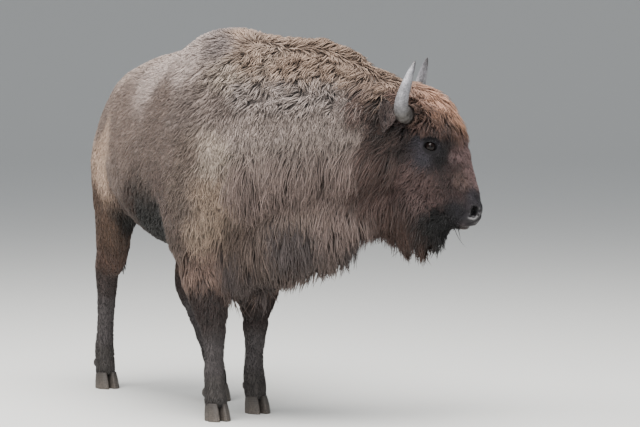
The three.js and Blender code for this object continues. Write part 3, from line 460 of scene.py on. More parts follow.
GUIDES = [*trunk_guides(), *neck_guides(), *head_guides(), *leg_guides(), *hanging_guides()]
GUIDE_PIECES = [g[0] for g in GUIDES]
GUIDE_PLACES = np.array([g[1] for g in GUIDES], np.float32)
GUIDE_REACH = 0.030  # within this a guide's weight hardly grows
GUIDE_FALL = 2.5  # how steeply its weight falls beyond
GUIDE_BATCH = 20000  # places blended at a time

# Columns of the table. Those from DEPTH to HANG are in the order of HAIR.
LIE, DEPTH, LENGTH, WIDTH, CLIMB, CURL, CLUMP, SPACING, HANG = slice(0, 3), 3, 4, 5, 6, 7, 8, 9, 10
TONE, BARE = slice(11, 14), 14


def guide_row(guide):
    """A guide's lie, the measures of its hair, its colour, and 1 where the skin is bare."""
    _piece, _place, lie, hair, tone = guide
    return [*lie, *HAIR[hair], *linear(TONES[tone]), hair == "bare"]


GUIDE_TABLE = np.array([guide_row(guide) for guide in GUIDES], np.float32)


def fields_at(places):
    """The guides' table blended at each place, and the number of the strongest guide."""
    rows, strongest = [], []
    for start in range(0, len(places), GUIDE_BATCH):
        some = places[start : start + GUIDE_BATCH].astype(np.float32)
        gap = ((some[:, None, :] - GUIDE_PLACES[None]) ** 2).sum(2) + GUIDE_REACH**2
        weight = gap**-GUIDE_FALL
        strongest.append(weight.argmax(1))
        rows.append((weight @ GUIDE_TABLE) / weight.sum(1, keepdims=True))
    fields = np.concatenate(rows).astype(float)
    for side in SIDES.values():
        lit = smooth_step(*EAR_SHADOW_REACH, ear_gap(places, side))
        fields[:, TONE] *= (EAR_SHADOW + (1 - EAR_SHADOW) * lit)[:, None]
    return fields, np.concatenate(strongest)


def ear_gap(places, side):
    """The distance of each place from the line along an ear."""
    root, long = ear_frame(side)[:2]
    rel = places - root
    share = np.clip(rel @ long, 0.0, EAR_LENGTH)
    return np.linalg.norm(rel - share[:, None] * long, axis=1)


def smooth_step(low, high, value):
    """0 below low, 1 above high, and an even rise between."""
    t = np.clip((value - low) / (high - low), 0, 1)
    return t * t * (3 - 2 * t)


def swell(value, middle, width):
    """1 in the middle, falling away to 0 on both sides."""
    return np.exp(-(((value - middle) / width) ** 2))


def rough_noise(places, size, seed):
    """Soft noise from -1 to 1 at each place, with lumps of the given size."""
    offset = Vector((seed * 7.3, seed * 3.1, seed * 5.7))  # far enough apart that seeds don't look alike
    return np.array([noise.noise(Vector(p) / size + offset) for p in places.tolist()])


# ------------------------------------------------------------------------------ the hide
LEGS = ["right_front", "left_front", "right_hind", "left_hind"]
LEG_PARTS = [f"{leg}_{part}_leg" for leg in LEGS for part in ("upper", "lower")]
FLESH = ["trunk", "neck", "head", "tail", *LEG_PARTS]
HANGING = ["throat_mane", "beard", "tail_tuft"]
GROW = 0.0012  # closes the fine cuts between the solids


def arrays_of(mesh):
    """A mesh's vertices and triangles."""
    mesh.calc_loop_triangles()
    places = np.empty(len(mesh.vertices) * 3)
    mesh.vertices.foreach_get("co", places)
    corners = np.empty(len(mesh.loop_triangles) * 3, int)
    mesh.loop_triangles.foreach_get("vertices", corners)
    return places.reshape(-1, 3), corners.reshape(-1, 3)


def normals_of(places, triangles):
    """A smooth normal at each vertex."""
    a, b, c = (places[triangles[:, k]] for k in range(3))
    flat = np.cross(b - a, c - a)
    total = np.zeros_like(places)
    for k in range(3):
        for axis in range(3):
            total[:, axis] += np.bincount(triangles[:, k], flat[:, axis], len(places))
    return unit(total)


def edges_of(triangles):
    """Every edge of the triangles, both ways round."""
    pairs = np.concatenate([triangles[:, [0, 1]], triangles[:, [1, 2]], triangles[:, [2, 0]]])
    pairs = np.unique(np.sort(pairs, axis=1), axis=0)
    return np.concatenate([pairs, pairs[:, ::-1]])


PULL = 0.60  # how far a round of relaxing draws a value to its neighbours' mean
PUSH = 0.63  # how far it's pushed back, where a form must keep its size


def relax(values, edges, share, rounds, back=0.0):
    """Values drawn to their neighbours' mean, and where back is given pushed back after each round."""
    count = np.maximum(np.bincount(edges[:, 0], minlength=len(values)), 1)[:, None]
    amounts = (PULL, -back) if back else (PULL,)
    for _ in range(rounds):
        for amount in amounts:
            columns = [np.bincount(edges[:, 0], column[edges[:, 1]], len(values)) for column in values.T]
            values = values + (np.stack(columns, 1) / count - values) * amount * share
    return values


def grown_solids(names):
    """The frame's solids as one mesh, each grown until it meets its neighbours."""
    joined = bmesh.new()
    for name in names:
        part = bmesh.new()
        part.from_mesh(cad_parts[name].data)
        bmesh.ops.remove_doubles(part, verts=part.verts, dist=1e-5)
        bmesh.ops.recalc_face_normals(part, faces=part.faces)
        part.normal_update()
        for v in part.verts:
            v.co += v.normal * GROW
        mesh = bpy.data.meshes.new("grown")
        part.to_mesh(mesh)
        part.free()
        joined.from_mesh(mesh)
        bpy.data.meshes.remove(mesh)
    mesh = bpy.data.meshes.new("solids")
    joined.to_mesh(mesh)
    joined.free()
    return mesh


def evened(mesh, size):
    """The outside of a mesh of overlapping solids, as one even surface."""
    holder = bpy.data.objects.new("evening", mesh)
    bpy.context.collection.objects.link(holder)
    remesh = holder.modifiers.new("remesh", "REMESH")
    remesh.mode = "VOXEL"
    remesh.voxel_size = size
    shown = holder.evaluated_get(bpy.context.evaluated_depsgraph_get())
    result = bpy.data.meshes.new_from_object(shown)
    bpy.data.objects.remove(holder)
    return result


def refined(places, triangles, sharp):
    """Splits the triangles that a test of their middles picks, and returns the new vertices and triangles."""
    bm = bmesh.new()
    for p in places.tolist():
        bm.verts.new(p)
    bm.verts.ensure_lookup_table()
    for t in triangles.tolist():
        bm.faces.new([bm.verts[k] for k in t])
    bm.faces.ensure_lookup_table()
    middles = places[triangles].mean(1)
    chosen = {e for k in np.nonzero(sharp(middles))[0].tolist() for e in bm.faces[k].edges}
    bmesh.ops.subdivide_edges(bm, edges=list(chosen), cuts=1, use_grid_fill=True)
    bmesh.ops.triangulate(bm, faces=bm.faces)
    mesh = bpy.data.meshes.new("refined")
    bm.to_mesh(mesh)
    bm.free()
    result = arrays_of(mesh)
    bpy.data.meshes.remove(mesh)
    return result


def in_head(places):
    """Places in the head's own directions: along the face, above it, and out to the left."""
    rel = places - POLL
    return np.stack([rel @ ALONG, rel @ ABOVE, rel @ LEFT], 1)


EYE_RADIUS = 0.021
EYE_SLIT = (0.0280, 0.0185)  # half the length and half the height of the opening
LOWER_SLIT = 0.86  # the height below the corners, as a share of that above
LID = 0.0028  # how far the lids stand out from the ball
LID_SLOPE = 0.5  # how far they fall back for each metre beyond the ball's edge
LIDS_REACH = 0.070
LIDS_BACK = -0.035  # nothing further behind the eye's middle is moved
BALL_GAP = 0.006  # between the ball and the skin inside the opening

# Where the lids' folds lie, counted in sizes of the opening: the middle of each and its width.
LID_BLEND = (1.35, 2.75)  # here it's the start and the end
LID_RIM = (1.12, 0.16)
LID_CREASE = (1.95, 0.22)
LID_POUCH = (2.55, 0.30)
RIM_HEIGHT = 0.0012
CREASE_DEPTHS = (0.0030, 0.0016)  # above and below the corners
POUCH_DEPTH = 0.0020
POUCH_TOP = 0.004


def eye_axes(side):
    """The way an eye looks, the way its slit runs towards the nose, and its upward way."""
    look = head_way(0.16, 0.20, 0.96 * side)
    slit = head_way(0.70, 0.66, -0.22 * side)
    slit = unit(slit - look * (slit @ look))
    up = np.cross(look, slit)
    return look, slit, up * np.sign(up[2])


def set_lids(places):
    """Lids round each eye, with a crease above and folds below."""
    length, upper = EYE_SLIT
    for name, side in SIDES.items():
        look, slit, up = eye_axes(side)
        rel = places - EYES[name]
        a, b, c = rel @ slit, rel @ up, rel @ look
        reach = np.hypot(a, b)
        near = (reach < LIDS_REACH) & (c > LIDS_BACK)
        height = np.where(b > 0, upper, upper * LOWER_SLIT)
        opening = np.sqrt((a / length) ** 2 + (b / height) ** 2)
        ball = np.sqrt(np.maximum(EYE_RADIUS**2 - reach**2, 0))
        lid = np.sqrt(np.maximum((EYE_RADIUS + LID) ** 2 - np.minimum(reach, EYE_RADIUS) ** 2, 0))
        lid = lid - np.maximum(reach - EYE_RADIUS, 0) * LID_SLOPE
        target = c + (lid - c) * (1 - smooth_step(*LID_BLEND, opening))
        crease = swell(opening, *LID_CREASE) * np.where(b > 0, *CREASE_DEPTHS)
        pouch = swell(opening, *LID_POUCH) * np.where(b < POUCH_TOP, POUCH_DEPTH, 0.0)
        rim = swell(opening, *LID_RIM) * RIM_HEIGHT
        folded = target - crease - pouch + rim
        target = np.where(opening < 1.0, np.minimum(c, ball - BALL_GAP), folded)
        places = places + look * (np.where(near, target - c, 0))[:, None]
    return places


NOSTRIL = (0.532, -0.042, 0.048)
NOSTRIL_SIZE = (0.0235, 0.0190)
NOSTRIL_BEND = 14.0  # makes a comma of the oval
NOSTRIL_ROOM = 0.05  # how far to both sides of its plane a nostril reaches
NOSTRIL_DEPTH = 0.022
NOSTRIL_EDGE = (0.45, 1.05)  # where the hollow's floor ends and its wall ends, in sizes of the nostril
NOSTRIL_RIM = (1.35, 0.32)  # the middle and width of the rim, and of the groove behind it
NOSTRIL_GROOVE = (2.4, 0.45)
RIM_RISE = 0.0040
GROOVE_FALL = 0.0030

# The mouth's line along the face and above it, from the front.
MOUTH = [(0.620, -0.072), (0.590, -0.088), (0.562, -0.128), (0.515, -0.153), (0.465, -0.150), (0.430, -0.140)]
MOUTH_CORNER = (0.440, 0.490)  # the line fades out between these places along the face
MOUTH_WIDTH = 0.0034
MOUTH_DEPTH = 0.0080
LIP = (0.011, 0.007)  # the middle of a lip and its width, from the line
LIP_RISES = (0.0040, 0.0046)  # of the upper and the lower lip
LIP_FRONT = (0.602, -0.088)  # where the muzzle's tip is drawn in, along and above
LIP_FRONT_SIZE = 0.030
LIP_FRONT_FALL = 0.011
PHILTRUM_START = (0.555, 0.575)
PHILTRUM_WIDTH = 0.0035
PHILTRUM_DEPTH = 0.0030


def nostril_ring(places, side):
    """How far each place is from a nostril's middle in sizes of it, whether it's near, and the way out."""
    out = head_way(0.62, 0.10, 0.78 * side)
    long = head_way(-0.50, 0.80, 0.30 * side)
    long = unit(long - out * (long @ out))
    short = np.cross(out, long)
    rel = places - on_head(NOSTRIL[0], NOSTRIL[1], NOSTRIL[2] * side)
    a, b = rel @ long, rel @ short
    bend = b + side * NOSTRIL_BEND * (a * a - 0.0001)
    ring = np.sqrt((a / NOSTRIL_SIZE[0]) ** 2 + (bend / NOSTRIL_SIZE[1]) ** 2)
    return ring, np.abs(rel @ out) < NOSTRIL_ROOM, out


def mouth_gap(head):
    """The distance of each place from the mouth's line, and whether it's above the line."""
    best = np.full(len(head), np.inf)
    above = np.zeros(len(head), bool)
    for (x0, y0), (x1, y1) in zip(MOUTH, MOUTH[1:]):
        run = np.array([x1 - x0, y1 - y0])
        rel = head[:, :2] - [x0, y0]
        share = np.clip(rel @ run / (run @ run), 0, 1)
        away = rel - share[:, None] * run
        gap = np.linalg.norm(away, axis=1)
        closer = gap < best
        best = np.where(closer, gap, best)
        above = np.where(closer, (run[0] * rel[:, 1] - run[1] * rel[:, 0]) < 0, above)
    return best, above


def set_nose(places, normals):
    """Nostrils with a thick rim, the mouth's line, and the groove down the upper lip."""
    head = in_head(places)
    shift = np.zeros(len(places))
    for side in SIDES.values():
        ring, close, out = nostril_ring(places, side)
        facing = (normals @ out > 0.1) & close
        shift += np.where(facing, -NOSTRIL_DEPTH * (1 - smooth_step(*NOSTRIL_EDGE, ring)), 0)
        shift += np.where(facing, RIM_RISE * swell(ring, *NOSTRIL_RIM), 0)
        shift += np.where(facing, -GROOVE_FALL * swell(ring, *NOSTRIL_GROOVE), 0)
    gap, above = mouth_gap(head)
    inside = smooth_step(*MOUTH_CORNER, head[:, 0])
    shift += inside * -MOUTH_DEPTH * swell(gap, 0, MOUTH_WIDTH)
    shift += inside * (np.where(above, *LIP_RISES) * swell(gap, *LIP))
    along, height = (head[:, :2] - LIP_FRONT).T / LIP_FRONT_SIZE
    shift -= LIP_FRONT_FALL * np.exp(-(along**2 + height**2))
    philtrum = smooth_step(*PHILTRUM_START, head[:, 0]) * above
    shift += -PHILTRUM_DEPTH * philtrum * swell(head[:, 2], 0, PHILTRUM_WIDTH)
    return places + normals * shift[:, None]


def near_eyes(places, reach):
    """Whether each place is within a reach of an eye's middle."""
    return np.minimum(*(np.linalg.norm(places - EYES[name], axis=1) for name in SIDES)) < reach


def on_face(places):
    """Whether each place is round an eye or on the muzzle, where the hide needs finer faces."""
    return near_eyes(places, 0.075) | (in_head(places)[:, 0] > 0.400)


def on_lids_and_lips(places):
    """Whether each place is on the lids, the nostrils or the mouth, where it needs the finest."""
    head = in_head(places)
    return near_eyes(places, 0.060) | (head[:, 0] > 0.430) & (np.abs(head[:, 1] + 0.08) < 0.09)


HIDE_CELL = 0.009  # the size of the faces that the solids are evened to
BUTTOCKS = (-1.075, -1.035)  # behind the first place along the body the form is left as it is
HEAD_REACH = 0.75  # everything further from the poll is body
HEAD_START = (-0.12, 0.0)  # along the face
LOOSE_FROM = (0.50, 0.80)  # below these heights the form is smoothed less
WALL_SHARE = 0.34  # of a thin part's thickness, the most that the coat takes
HOOF_LINE = (0.080, 0.140)  # heights between which the hide meets the hooves
HOOF_SINK = 0.016
HOOF_SINK_TOP = 0.110
HANG_LIFT = 0.055  # the most that the skin is raised where hair hangs below it
LEDGE = 0.30  # an underside with the animal's own side this close below it is only a ledge
CREASE = (0.66, 0.13, 1.02)  # where the neck's side meets the throat
CREASE_SIZE = 0.10


def make_outline():
    """The animal's outline over its coat: vertices, triangles and edges."""
    outline = evened(grown_solids(FLESH + HANGING), HIDE_CELL)
    places, triangles = arrays_of(outline)
    bpy.data.meshes.remove(outline)
    edges = edges_of(triangles)
    near_head = np.linalg.norm(places - POLL, axis=1) < HEAD_REACH
    head_share = smooth_step(*HEAD_START, in_head(places)[:, 0]) * near_head
    low = 1 - smooth_step(*LOOSE_FROM, places[:, 2])
    thick = smooth_step(*BUTTOCKS, places[:, 0] - UNDER_HUMP[0])
    loose = (np.clip(1 - head_share, 0, 1) * (1 - low) * thick)[:, None]
    places = relax(places, edges, 0.25 + 0.75 * thick[:, None], 12, back=PUSH)
    places = relax(places, edges, loose, 48, back=PUSH)
    return places, triangles, edges


def coat_depth(places, normals, edges, tree, depth):
    """How deep the skin lies: the coat's depth, but less in thin parts and none at the hooves."""
    for k, (p, n) in enumerate(zip(places.tolist(), normals.tolist())):
        inward = Vector(n) * -1
        thickness = tree.ray_cast(Vector(p) + inward * 0.002, inward)[3]
        if thickness is not None:
            depth[k] = min(depth[k], thickness * WALL_SHARE)
    return relax(depth[:, None], edges, 1.0, 4) * smooth_step(*HOOF_LINE, places[:, 2])[:, None]


def hanging_lift(outer, edges, tree, lift):
    """How far the skin is raised where hair hangs below it, which it isn't at a ledge on the side."""
    for k in np.flatnonzero(lift > 0.001):
        start = Vector(outer[k]) - Vector((0, 0, 0.004))
        if tree.ray_cast(start, Vector((0, 0, -1)), LEDGE)[3] is not None:
            lift[k] = 0
    return relax(lift[:, None], edges, 1.0, 6)[:, 0]


def make_hide():
    """The hide's vertices and triangles, and a tree of the outline over the coat."""
    outer, triangles, edges = make_outline()
    outline_tree = BVHTree.FromPolygons(outer.tolist(), triangles.tolist())
    fields, _ = fields_at(outer)
    normals = normals_of(outer, triangles)
    places = outer - normals * coat_depth(outer, normals, edges, outline_tree, fields[:, DEPTH].copy())
    places[:, 2] -= HOOF_SINK * (1 - smooth_step(HOOF_LINE[0], HOOF_SINK_TOP, places[:, 2]))
    lift = fields[:, HANG] * np.maximum(-normals[:, 2], 0) * HANG_LIFT
    places[:, 2] += hanging_lift(outer, edges, outline_tree, lift)
    crease = swell(np.linalg.norm(places - on_body(*CREASE), axis=1), 0, CREASE_SIZE)
    places = relax(places, edges, crease[:, None], 30)
    places = relax(places, edges, 0.5, 3)

    for fine in (on_face, on_lids_and_lips):
        places, triangles = refined(places, triangles, fine)
    places = relax(places, edges_of(triangles), 0.5, 3)
    places = set_lids(places)
    places = set_nose(places, normals_of(places, triangles))
    return places, triangles, outline_tree


# ------------------------------------------------------------------------------ mesh helpers
def new_mesh_object(name, places, corners, sizes):
    """A smooth mesh object from vertex places and the corners of each face in turn."""
    mesh = bpy.data.meshes.new(name)
    mesh.vertices.add(len(places))
    mesh.vertices.foreach_set("co", np.ascontiguousarray(places, np.float32).ravel())
    mesh.loops.add(len(corners))
    mesh.loops.foreach_set("vertex_index", np.ascontiguousarray(corners, np.int32))
    mesh.polygons.add(len(sizes))
    starts = np.concatenate([[0], np.cumsum(sizes)[:-1]]).astype(np.int32)
    mesh.polygons.foreach_set("loop_start", starts)
    mesh.polygons.foreach_set("use_smooth", np.ones(len(sizes), bool))
    mesh.update(calc_edges=True)
    piece = bpy.data.objects.new(name, mesh)
    bpy.context.collection.objects.link(piece)
    return piece


def object_from(bm, name):
    """An object from a bmesh, smooth all over, with its faces turned outward. The bmesh is freed."""
    bm.normal_update()  # the turning below goes by the faces' stored normals
    bmesh.ops.recalc_face_normals(bm, faces=bm.faces)
    for face in bm.faces:
        face.smooth = True
    mesh = bpy.data.meshes.new(name)
    bm.to_mesh(mesh)
    bm.free()
    made = bpy.data.objects.new(name, mesh)
    bpy.context.collection.objects.link(made)
    return made


def paint(piece, name, colours):
    """A colour for each vertex."""
    layer = piece.data.color_attributes.new(name=name, type="FLOAT_COLOR", domain="POINT")
    rows = np.ones((len(colours), 4), np.float32)
    rows[:, :3] = colours
    layer.data.foreach_set("color", rows.ravel())


def lay_out(piece, name, corners):
    """A UV map from a place for each corner."""
    layer = piece.data.uv_layers.new(name=name, do_init=False)
    layer.data.foreach_set("uv", np.ascontiguousarray(corners, np.float32).ravel())


def finish_piece(piece, material, slot, *nodes):
    """Gives a piece its material, and lets it stand for the frame's nodes. The slot is not used."""
    piece.data.materials.clear()
    piece.data.materials.append(material)
    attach(piece, "root")
    if nodes:
        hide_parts(*nodes)
    return piece


# ------------------------------------------------------------------------------ materials
def shared_group(name, inputs, outputs):
    """An empty node group with the given sockets, and its input and output nodes."""
    group = bpy.data.node_groups.new(name, "ShaderNodeTree")
    for label, kind, default in inputs:
        socket = group.interface.new_socket(label, in_out="INPUT", socket_type=kind)
        if default is not None:
            socket.default_value = default
    for label, kind in outputs:
        group.interface.new_socket(label, in_out="OUTPUT", socket_type=kind)
    return group, group.nodes.new("NodeGroupInput"), group.nodes.new("NodeGroupOutput")


def math_node(tree, kind, a, b):
    """A maths node; a and b are sockets or numbers."""
    node = tree.nodes.new("ShaderNodeMath")
    node.operation = kind
    for k, value in enumerate((a, b)):
        if isinstance(value, bpy.types.NodeSocket):
            tree.links.new(value, node.inputs[k])
        elif value is not None:
            node.inputs[k].default_value = value
    return node.outputs[0]


def scaled(tree, value, gain, base):
    """A value times a gain, plus a base."""
    return math_node(tree, "ADD", math_node(tree, "MULTIPLY", value, gain), base)


def mix_colours(tree, kind, share, a, b):
    """A mix of two colours; share, a and b are sockets or values."""
    node = tree.nodes.new("ShaderNodeMix")
    node.data_type = "RGBA"
    node.blend_type = kind
    for socket, value in ((node.inputs[0], share), (node.inputs[6], a), (node.inputs[7], b)):
        if isinstance(value, bpy.types.NodeSocket):
            tree.links.new(value, socket)
        else:
            socket.default_value = value
    return node.outputs[2]


def ramped(tree, value, low, high):
    """A value spread from 0 at low to 1 at high."""
    node = tree.nodes.new("ShaderNodeMapRange")
    node.inputs["From Min"].default_value = low
    node.inputs["From Max"].default_value = high
    tree.links.new(value, node.inputs["Value"])
    return node.outputs[0]


NOISE_RANGE = (0.30, 0.70)  # where a noise texture's values mostly lie


def textured(tree, kind, where, scale, **settings):
    """A procedural texture's value at a vector."""
    node = tree.nodes.new(kind)
    node.inputs["Scale"].default_value = scale
    for label, value in settings.items():
        node.inputs[label].default_value = value
    tree.links.new(where, node.inputs["Vector"])
    return node.outputs["Distance" if kind == "ShaderNodeTexVoronoi" else 0]


def strand_group():
    """Fine hairs along a lock: a mask that is 0 between hairs and 1 on them."""
    group, _, out = shared_group("strands", [], [("Mask", "NodeSocketFloat")])
    uv = group.nodes.new("ShaderNodeUVMap")
    uv.uv_map = "Strand"
    fine = textured(group, "ShaderNodeTexNoise", uv.outputs[0], 1.0, Detail=3.0, Roughness=0.6)
    group.links.new(ramped(group, fine, *NOISE_RANGE), out.inputs[0])
    return group


def mottle_group():
    """Large soft patches, smaller blotches and fine specks, by the place on the animal."""
    sockets = [(name, "NodeSocketFloat") for name in ("Patches", "Blotches", "Specks")]
    group, _, out = shared_group("mottle", [], sockets)
    where = group.nodes.new("ShaderNodeTexCoord").outputs["Object"]
    patches = textured(group, "ShaderNodeTexNoise", where, 9.0, Detail=4.0, Roughness=0.6)
    specks = textured(group, "ShaderNodeTexNoise", where, 160.0, Detail=3.0, Roughness=0.65)
    blotches = textured(group, "ShaderNodeTexNoise", where, 42.0, Detail=4.0, Roughness=0.6)
    for k, cloud in enumerate((patches, blotches, specks)):
        group.links.new(ramped(group, cloud, *NOISE_RANGE), out.inputs[k])
    return group


def use_group(tree, name, make):
    """A shared group in a material, made the first time it's asked for."""
    group = bpy.data.node_groups.get(name) or make()
    node = tree.nodes.new("ShaderNodeGroup")
    node.node_tree = group
    return node.outputs


def plain_material(name, roughness, specular):
    """A material with its main shader's roughness and specular level set."""
    material = bpy.data.materials.new(name)
    material.use_nodes = True
    tree = material.node_tree
    shader = tree.nodes["Principled BSDF"]
    shader.inputs["Roughness"].default_value = roughness
    shader.inputs["Specular IOR Level"].default_value = specular
    return material, tree, shader


def bumped(tree, shader, height, distance, strength):
    """A height laid over the shader's surface."""
    bump = tree.nodes.new("ShaderNodeBump")
    bump.inputs["Strength"].default_value = strength
    bump.inputs["Distance"].default_value = distance
    tree.links.new(height, bump.inputs["Height"])
    tree.links.new(bump.outputs[0], shader.inputs["Normal"])


def painted(tree, name, output="Fac"):
    """What is painted on the vertices."""
    node = tree.nodes.new("ShaderNodeAttribute")
    node.attribute_name = name
    return node.outputs[output]


def coat_material():
    """Hair: the painted tint, streaked along each lock."""
    material, tree, shader = plain_material("coat", roughness=0.72, specular=0.22)
    hairs = use_group(tree, "strands", strand_group)["Mask"]
    mottle = use_group(tree, "mottle", mottle_group)
    shade = scaled(tree, hairs, 0.62, 0.66)
    patch = scaled(tree, mottle["Patches"], 0.22, 0.89)
    shade = math_node(tree, "MULTIPLY", shade, patch)
    streaked = mix_colours(tree, "MULTIPLY", 1.0, painted(tree, "Tint", "Color"), shade)
    tree.links.new(streaked, shader.inputs["Base Color"])
    shader.inputs["Sheen Weight"].default_value = 0.10
    shader.inputs["Sheen Roughness"].default_value = 0.45
    bumped(tree, shader, hairs, distance=0.0012, strength=0.8)
    return material


def hide_material():
    """Hide: the painted tint, with short hair as bump, and pebbled moist skin where it's bare."""
    material, tree, shader = plain_material("hide", roughness=0.75, specular=0.25)
    where = tree.nodes.new("ShaderNodeTexCoord").outputs["Object"]
    bare = painted(tree, "Bare")
    mottle = use_group(tree, "mottle", mottle_group)
    pebbles = textured(tree, "ShaderNodeTexVoronoi", where, 420.0)
    hairs = textured(tree, "ShaderNodeTexNoise", where, 520.0, Detail=3.0, Roughness=0.6)
    shade = scaled(tree, mottle["Specks"], 0.5, 0.75)
    specked = mix_colours(tree, "MULTIPLY", 1.0, painted(tree, "Tint", "Color"), shade)
    tree.links.new(specked, shader.inputs["Base Color"])
    height = tree.nodes.new("ShaderNodeMix")
    tree.links.new(bare, height.inputs[0])
    tree.links.new(hairs, height.inputs[2])
    tree.links.new(pebbles, height.inputs[3])
    roughness = math_node(tree, "SUBTRACT", 0.78, math_node(tree, "MULTIPLY", bare, 0.34))
    tree.links.new(roughness, shader.inputs["Roughness"])
    bumped(tree, shader, height.outputs[0], distance=0.0012, strength=0.6)
    return material


# ------------------------------------------------------------------------------ locks of hair
STREWN = 2.4  # roots strewn for each square of one spacing, before they are thinned
ROOT_CELL = 0.93  # the size of the cells that keep one root each, in spacings
CELL_ORIGIN = 4096  # keeps the numbers of the cells above zero
SPACING_GRADES = 2e4  # grades of spacing to the metre, so that cells of unlike size don't mix


class Surface:
    """A surface that hair grows on, with the guides' fields at its vertices."""

    def __init__(self, places, triangles, fields, strongest):
        self.places, self.triangles, self.fields, self.strongest = places, triangles, fields, strongest
        self.normals = normals_of(places, triangles)
        lie = fields[:, LIE] - self.normals * (fields[:, LIE] * self.normals).sum(1, keepdims=True)
        self.lies = unit(lie)
        self.face_normals = unit(self.normals[triangles].mean(1))
        self.face_lies = unit(self.lies[triangles].mean(1))
        self.tree = BVHTree.FromPolygons(places.tolist(), triangles.tolist())

    def roots(self, seed):
        """Evenly strewn roots: places, normals, lies, fields, and the strongest guide."""
        dice = np.random.default_rng(seed)
        corners = self.places[self.triangles]
        across, along = corners[:, 1] - corners[:, 0], corners[:, 2] - corners[:, 0]
        area = np.linalg.norm(np.cross(across, along), axis=1) / 2
        spacing = self.fields[:, SPACING][self.triangles].mean(1)
        count = dice.poisson(area / spacing**2 * STREWN)
        face = np.repeat(np.arange(len(count)), count)
        u, v = dice.random((2, len(face)))
        flip = u + v > 1
        u, v = np.where(flip, 1 - u, u), np.where(flip, 1 - v, v)
        share = np.stack([1 - u - v, u, v], 1)[:, :, None]
        ends = self.triangles[face]
        places = (self.places[ends] * share).sum(1)
        cell = np.floor(places / (spacing[face] * ROOT_CELL)[:, None]).astype(np.int64) + CELL_ORIGIN
        grade = np.round(spacing[face] * SPACING_GRADES).astype(np.int64)
        key = (cell[:, 0] << 40) + (cell[:, 1] << 20) + cell[:, 2] + (grade << 56)
        _, keep = np.unique(key, return_index=True)
        keep = np.sort(keep)
        share, ends = share[keep], ends[keep]
        normals = unit((self.normals[ends] * share).sum(1))
        lies = (self.lies[ends] * share).sum(1)
        lies = unit(lies - normals * (lies * normals).sum(1, keepdims=True))
        fields = (self.fields[ends] * share).sum(1)
        return places[keep], normals, lies, fields, self.strongest[ends[:, 0]]


def turned(vectors, axes, angles):
    """Vectors turned about axes square to them."""
    c, s = np.cos(angles)[:, None], np.sin(angles)[:, None]
    return vectors * c + np.cross(axes, vectors) * s


CLUMP_AHEAD = 0.012  # a clump's middle lies this far along the hair's lie


def clumps_of(places, lies, size, seed):
    """Each root's clump: its middle, and three random numbers that the clump's locks share."""
    dice = np.random.default_rng(seed)
    _, first = np.unique(np.floor(places / size[:, None]).astype(int), axis=0, return_index=True)
    middles = places[first] + lies[first] * CLUMP_AHEAD
    tree = KDTree(len(middles))
    for k, p in enumerate(middles.tolist()):
        tree.insert(p, k)
    tree.balance()
    nearest = np.array([tree.find(p)[1] for p in places.tolist()])
    return middles[nearest], dice.random((len(middles), 3))[nearest]


RINGS = {False: 3, True: 5}  # rings of a short and of a long lock
CLUMP_SIZES = (0.046, 0.034)  # in a deep coat and in a shallow one
DEEP = 0.02
# Shares of the guides' measures that a lock draws between.
LENGTHS = (0.72, 1.18)
WIDTHS = (0.75, 1.25)
CLIMBS = (0.62, 1.06)
DROPS = (0.80, 1.22)  # of the room below it
CLUMP_TURN = 2.1  # how far apart two clumps of the curliest hair may head, in radians
STRAY = 0.13  # how far a lock strays from its clump's heading, in radians
ROOT_SINK = 0.0015  # a lock starts this far under the skin
HANGS_FREE = 0.6  # from here on hair that hangs is cut to the outline
LEAVES_SKIN = 0.3  # from here on it may leave the skin
GATHER = 0.022  # the most that a lock is drawn to its clump's line in one step, before its share
WAVE_TURN = 5.0  # how far a lock's wave turns from root to tip, in radians
WAVE = 0.006
HANGING_WAVE = 0.010
LEAN = 0.004


def room_below(places, normals, tree):
    """How far below each root the outline over the coat lies."""
    drop = np.full(len(places), np.inf)
    for k, (p, n) in enumerate(zip(places.tolist(), normals.tolist())):
        start = Vector(p) + Vector(n) * 0.012
        fall = tree.ray_cast(start, Vector((0, 0, -1)))[3]
        if fall is not None:
            drop[k] = fall
    return drop


def nearest_on(surface, points):
    """The nearest place on a surface to each point, and the triangle that it's on."""
    landed = np.empty_like(points)
    faces = np.empty(len(points), int)
    for k, p in enumerate(points.tolist()):
        landed[k], _normal, faces[k], _gap = surface.tree.find_nearest(p)
    return landed, faces


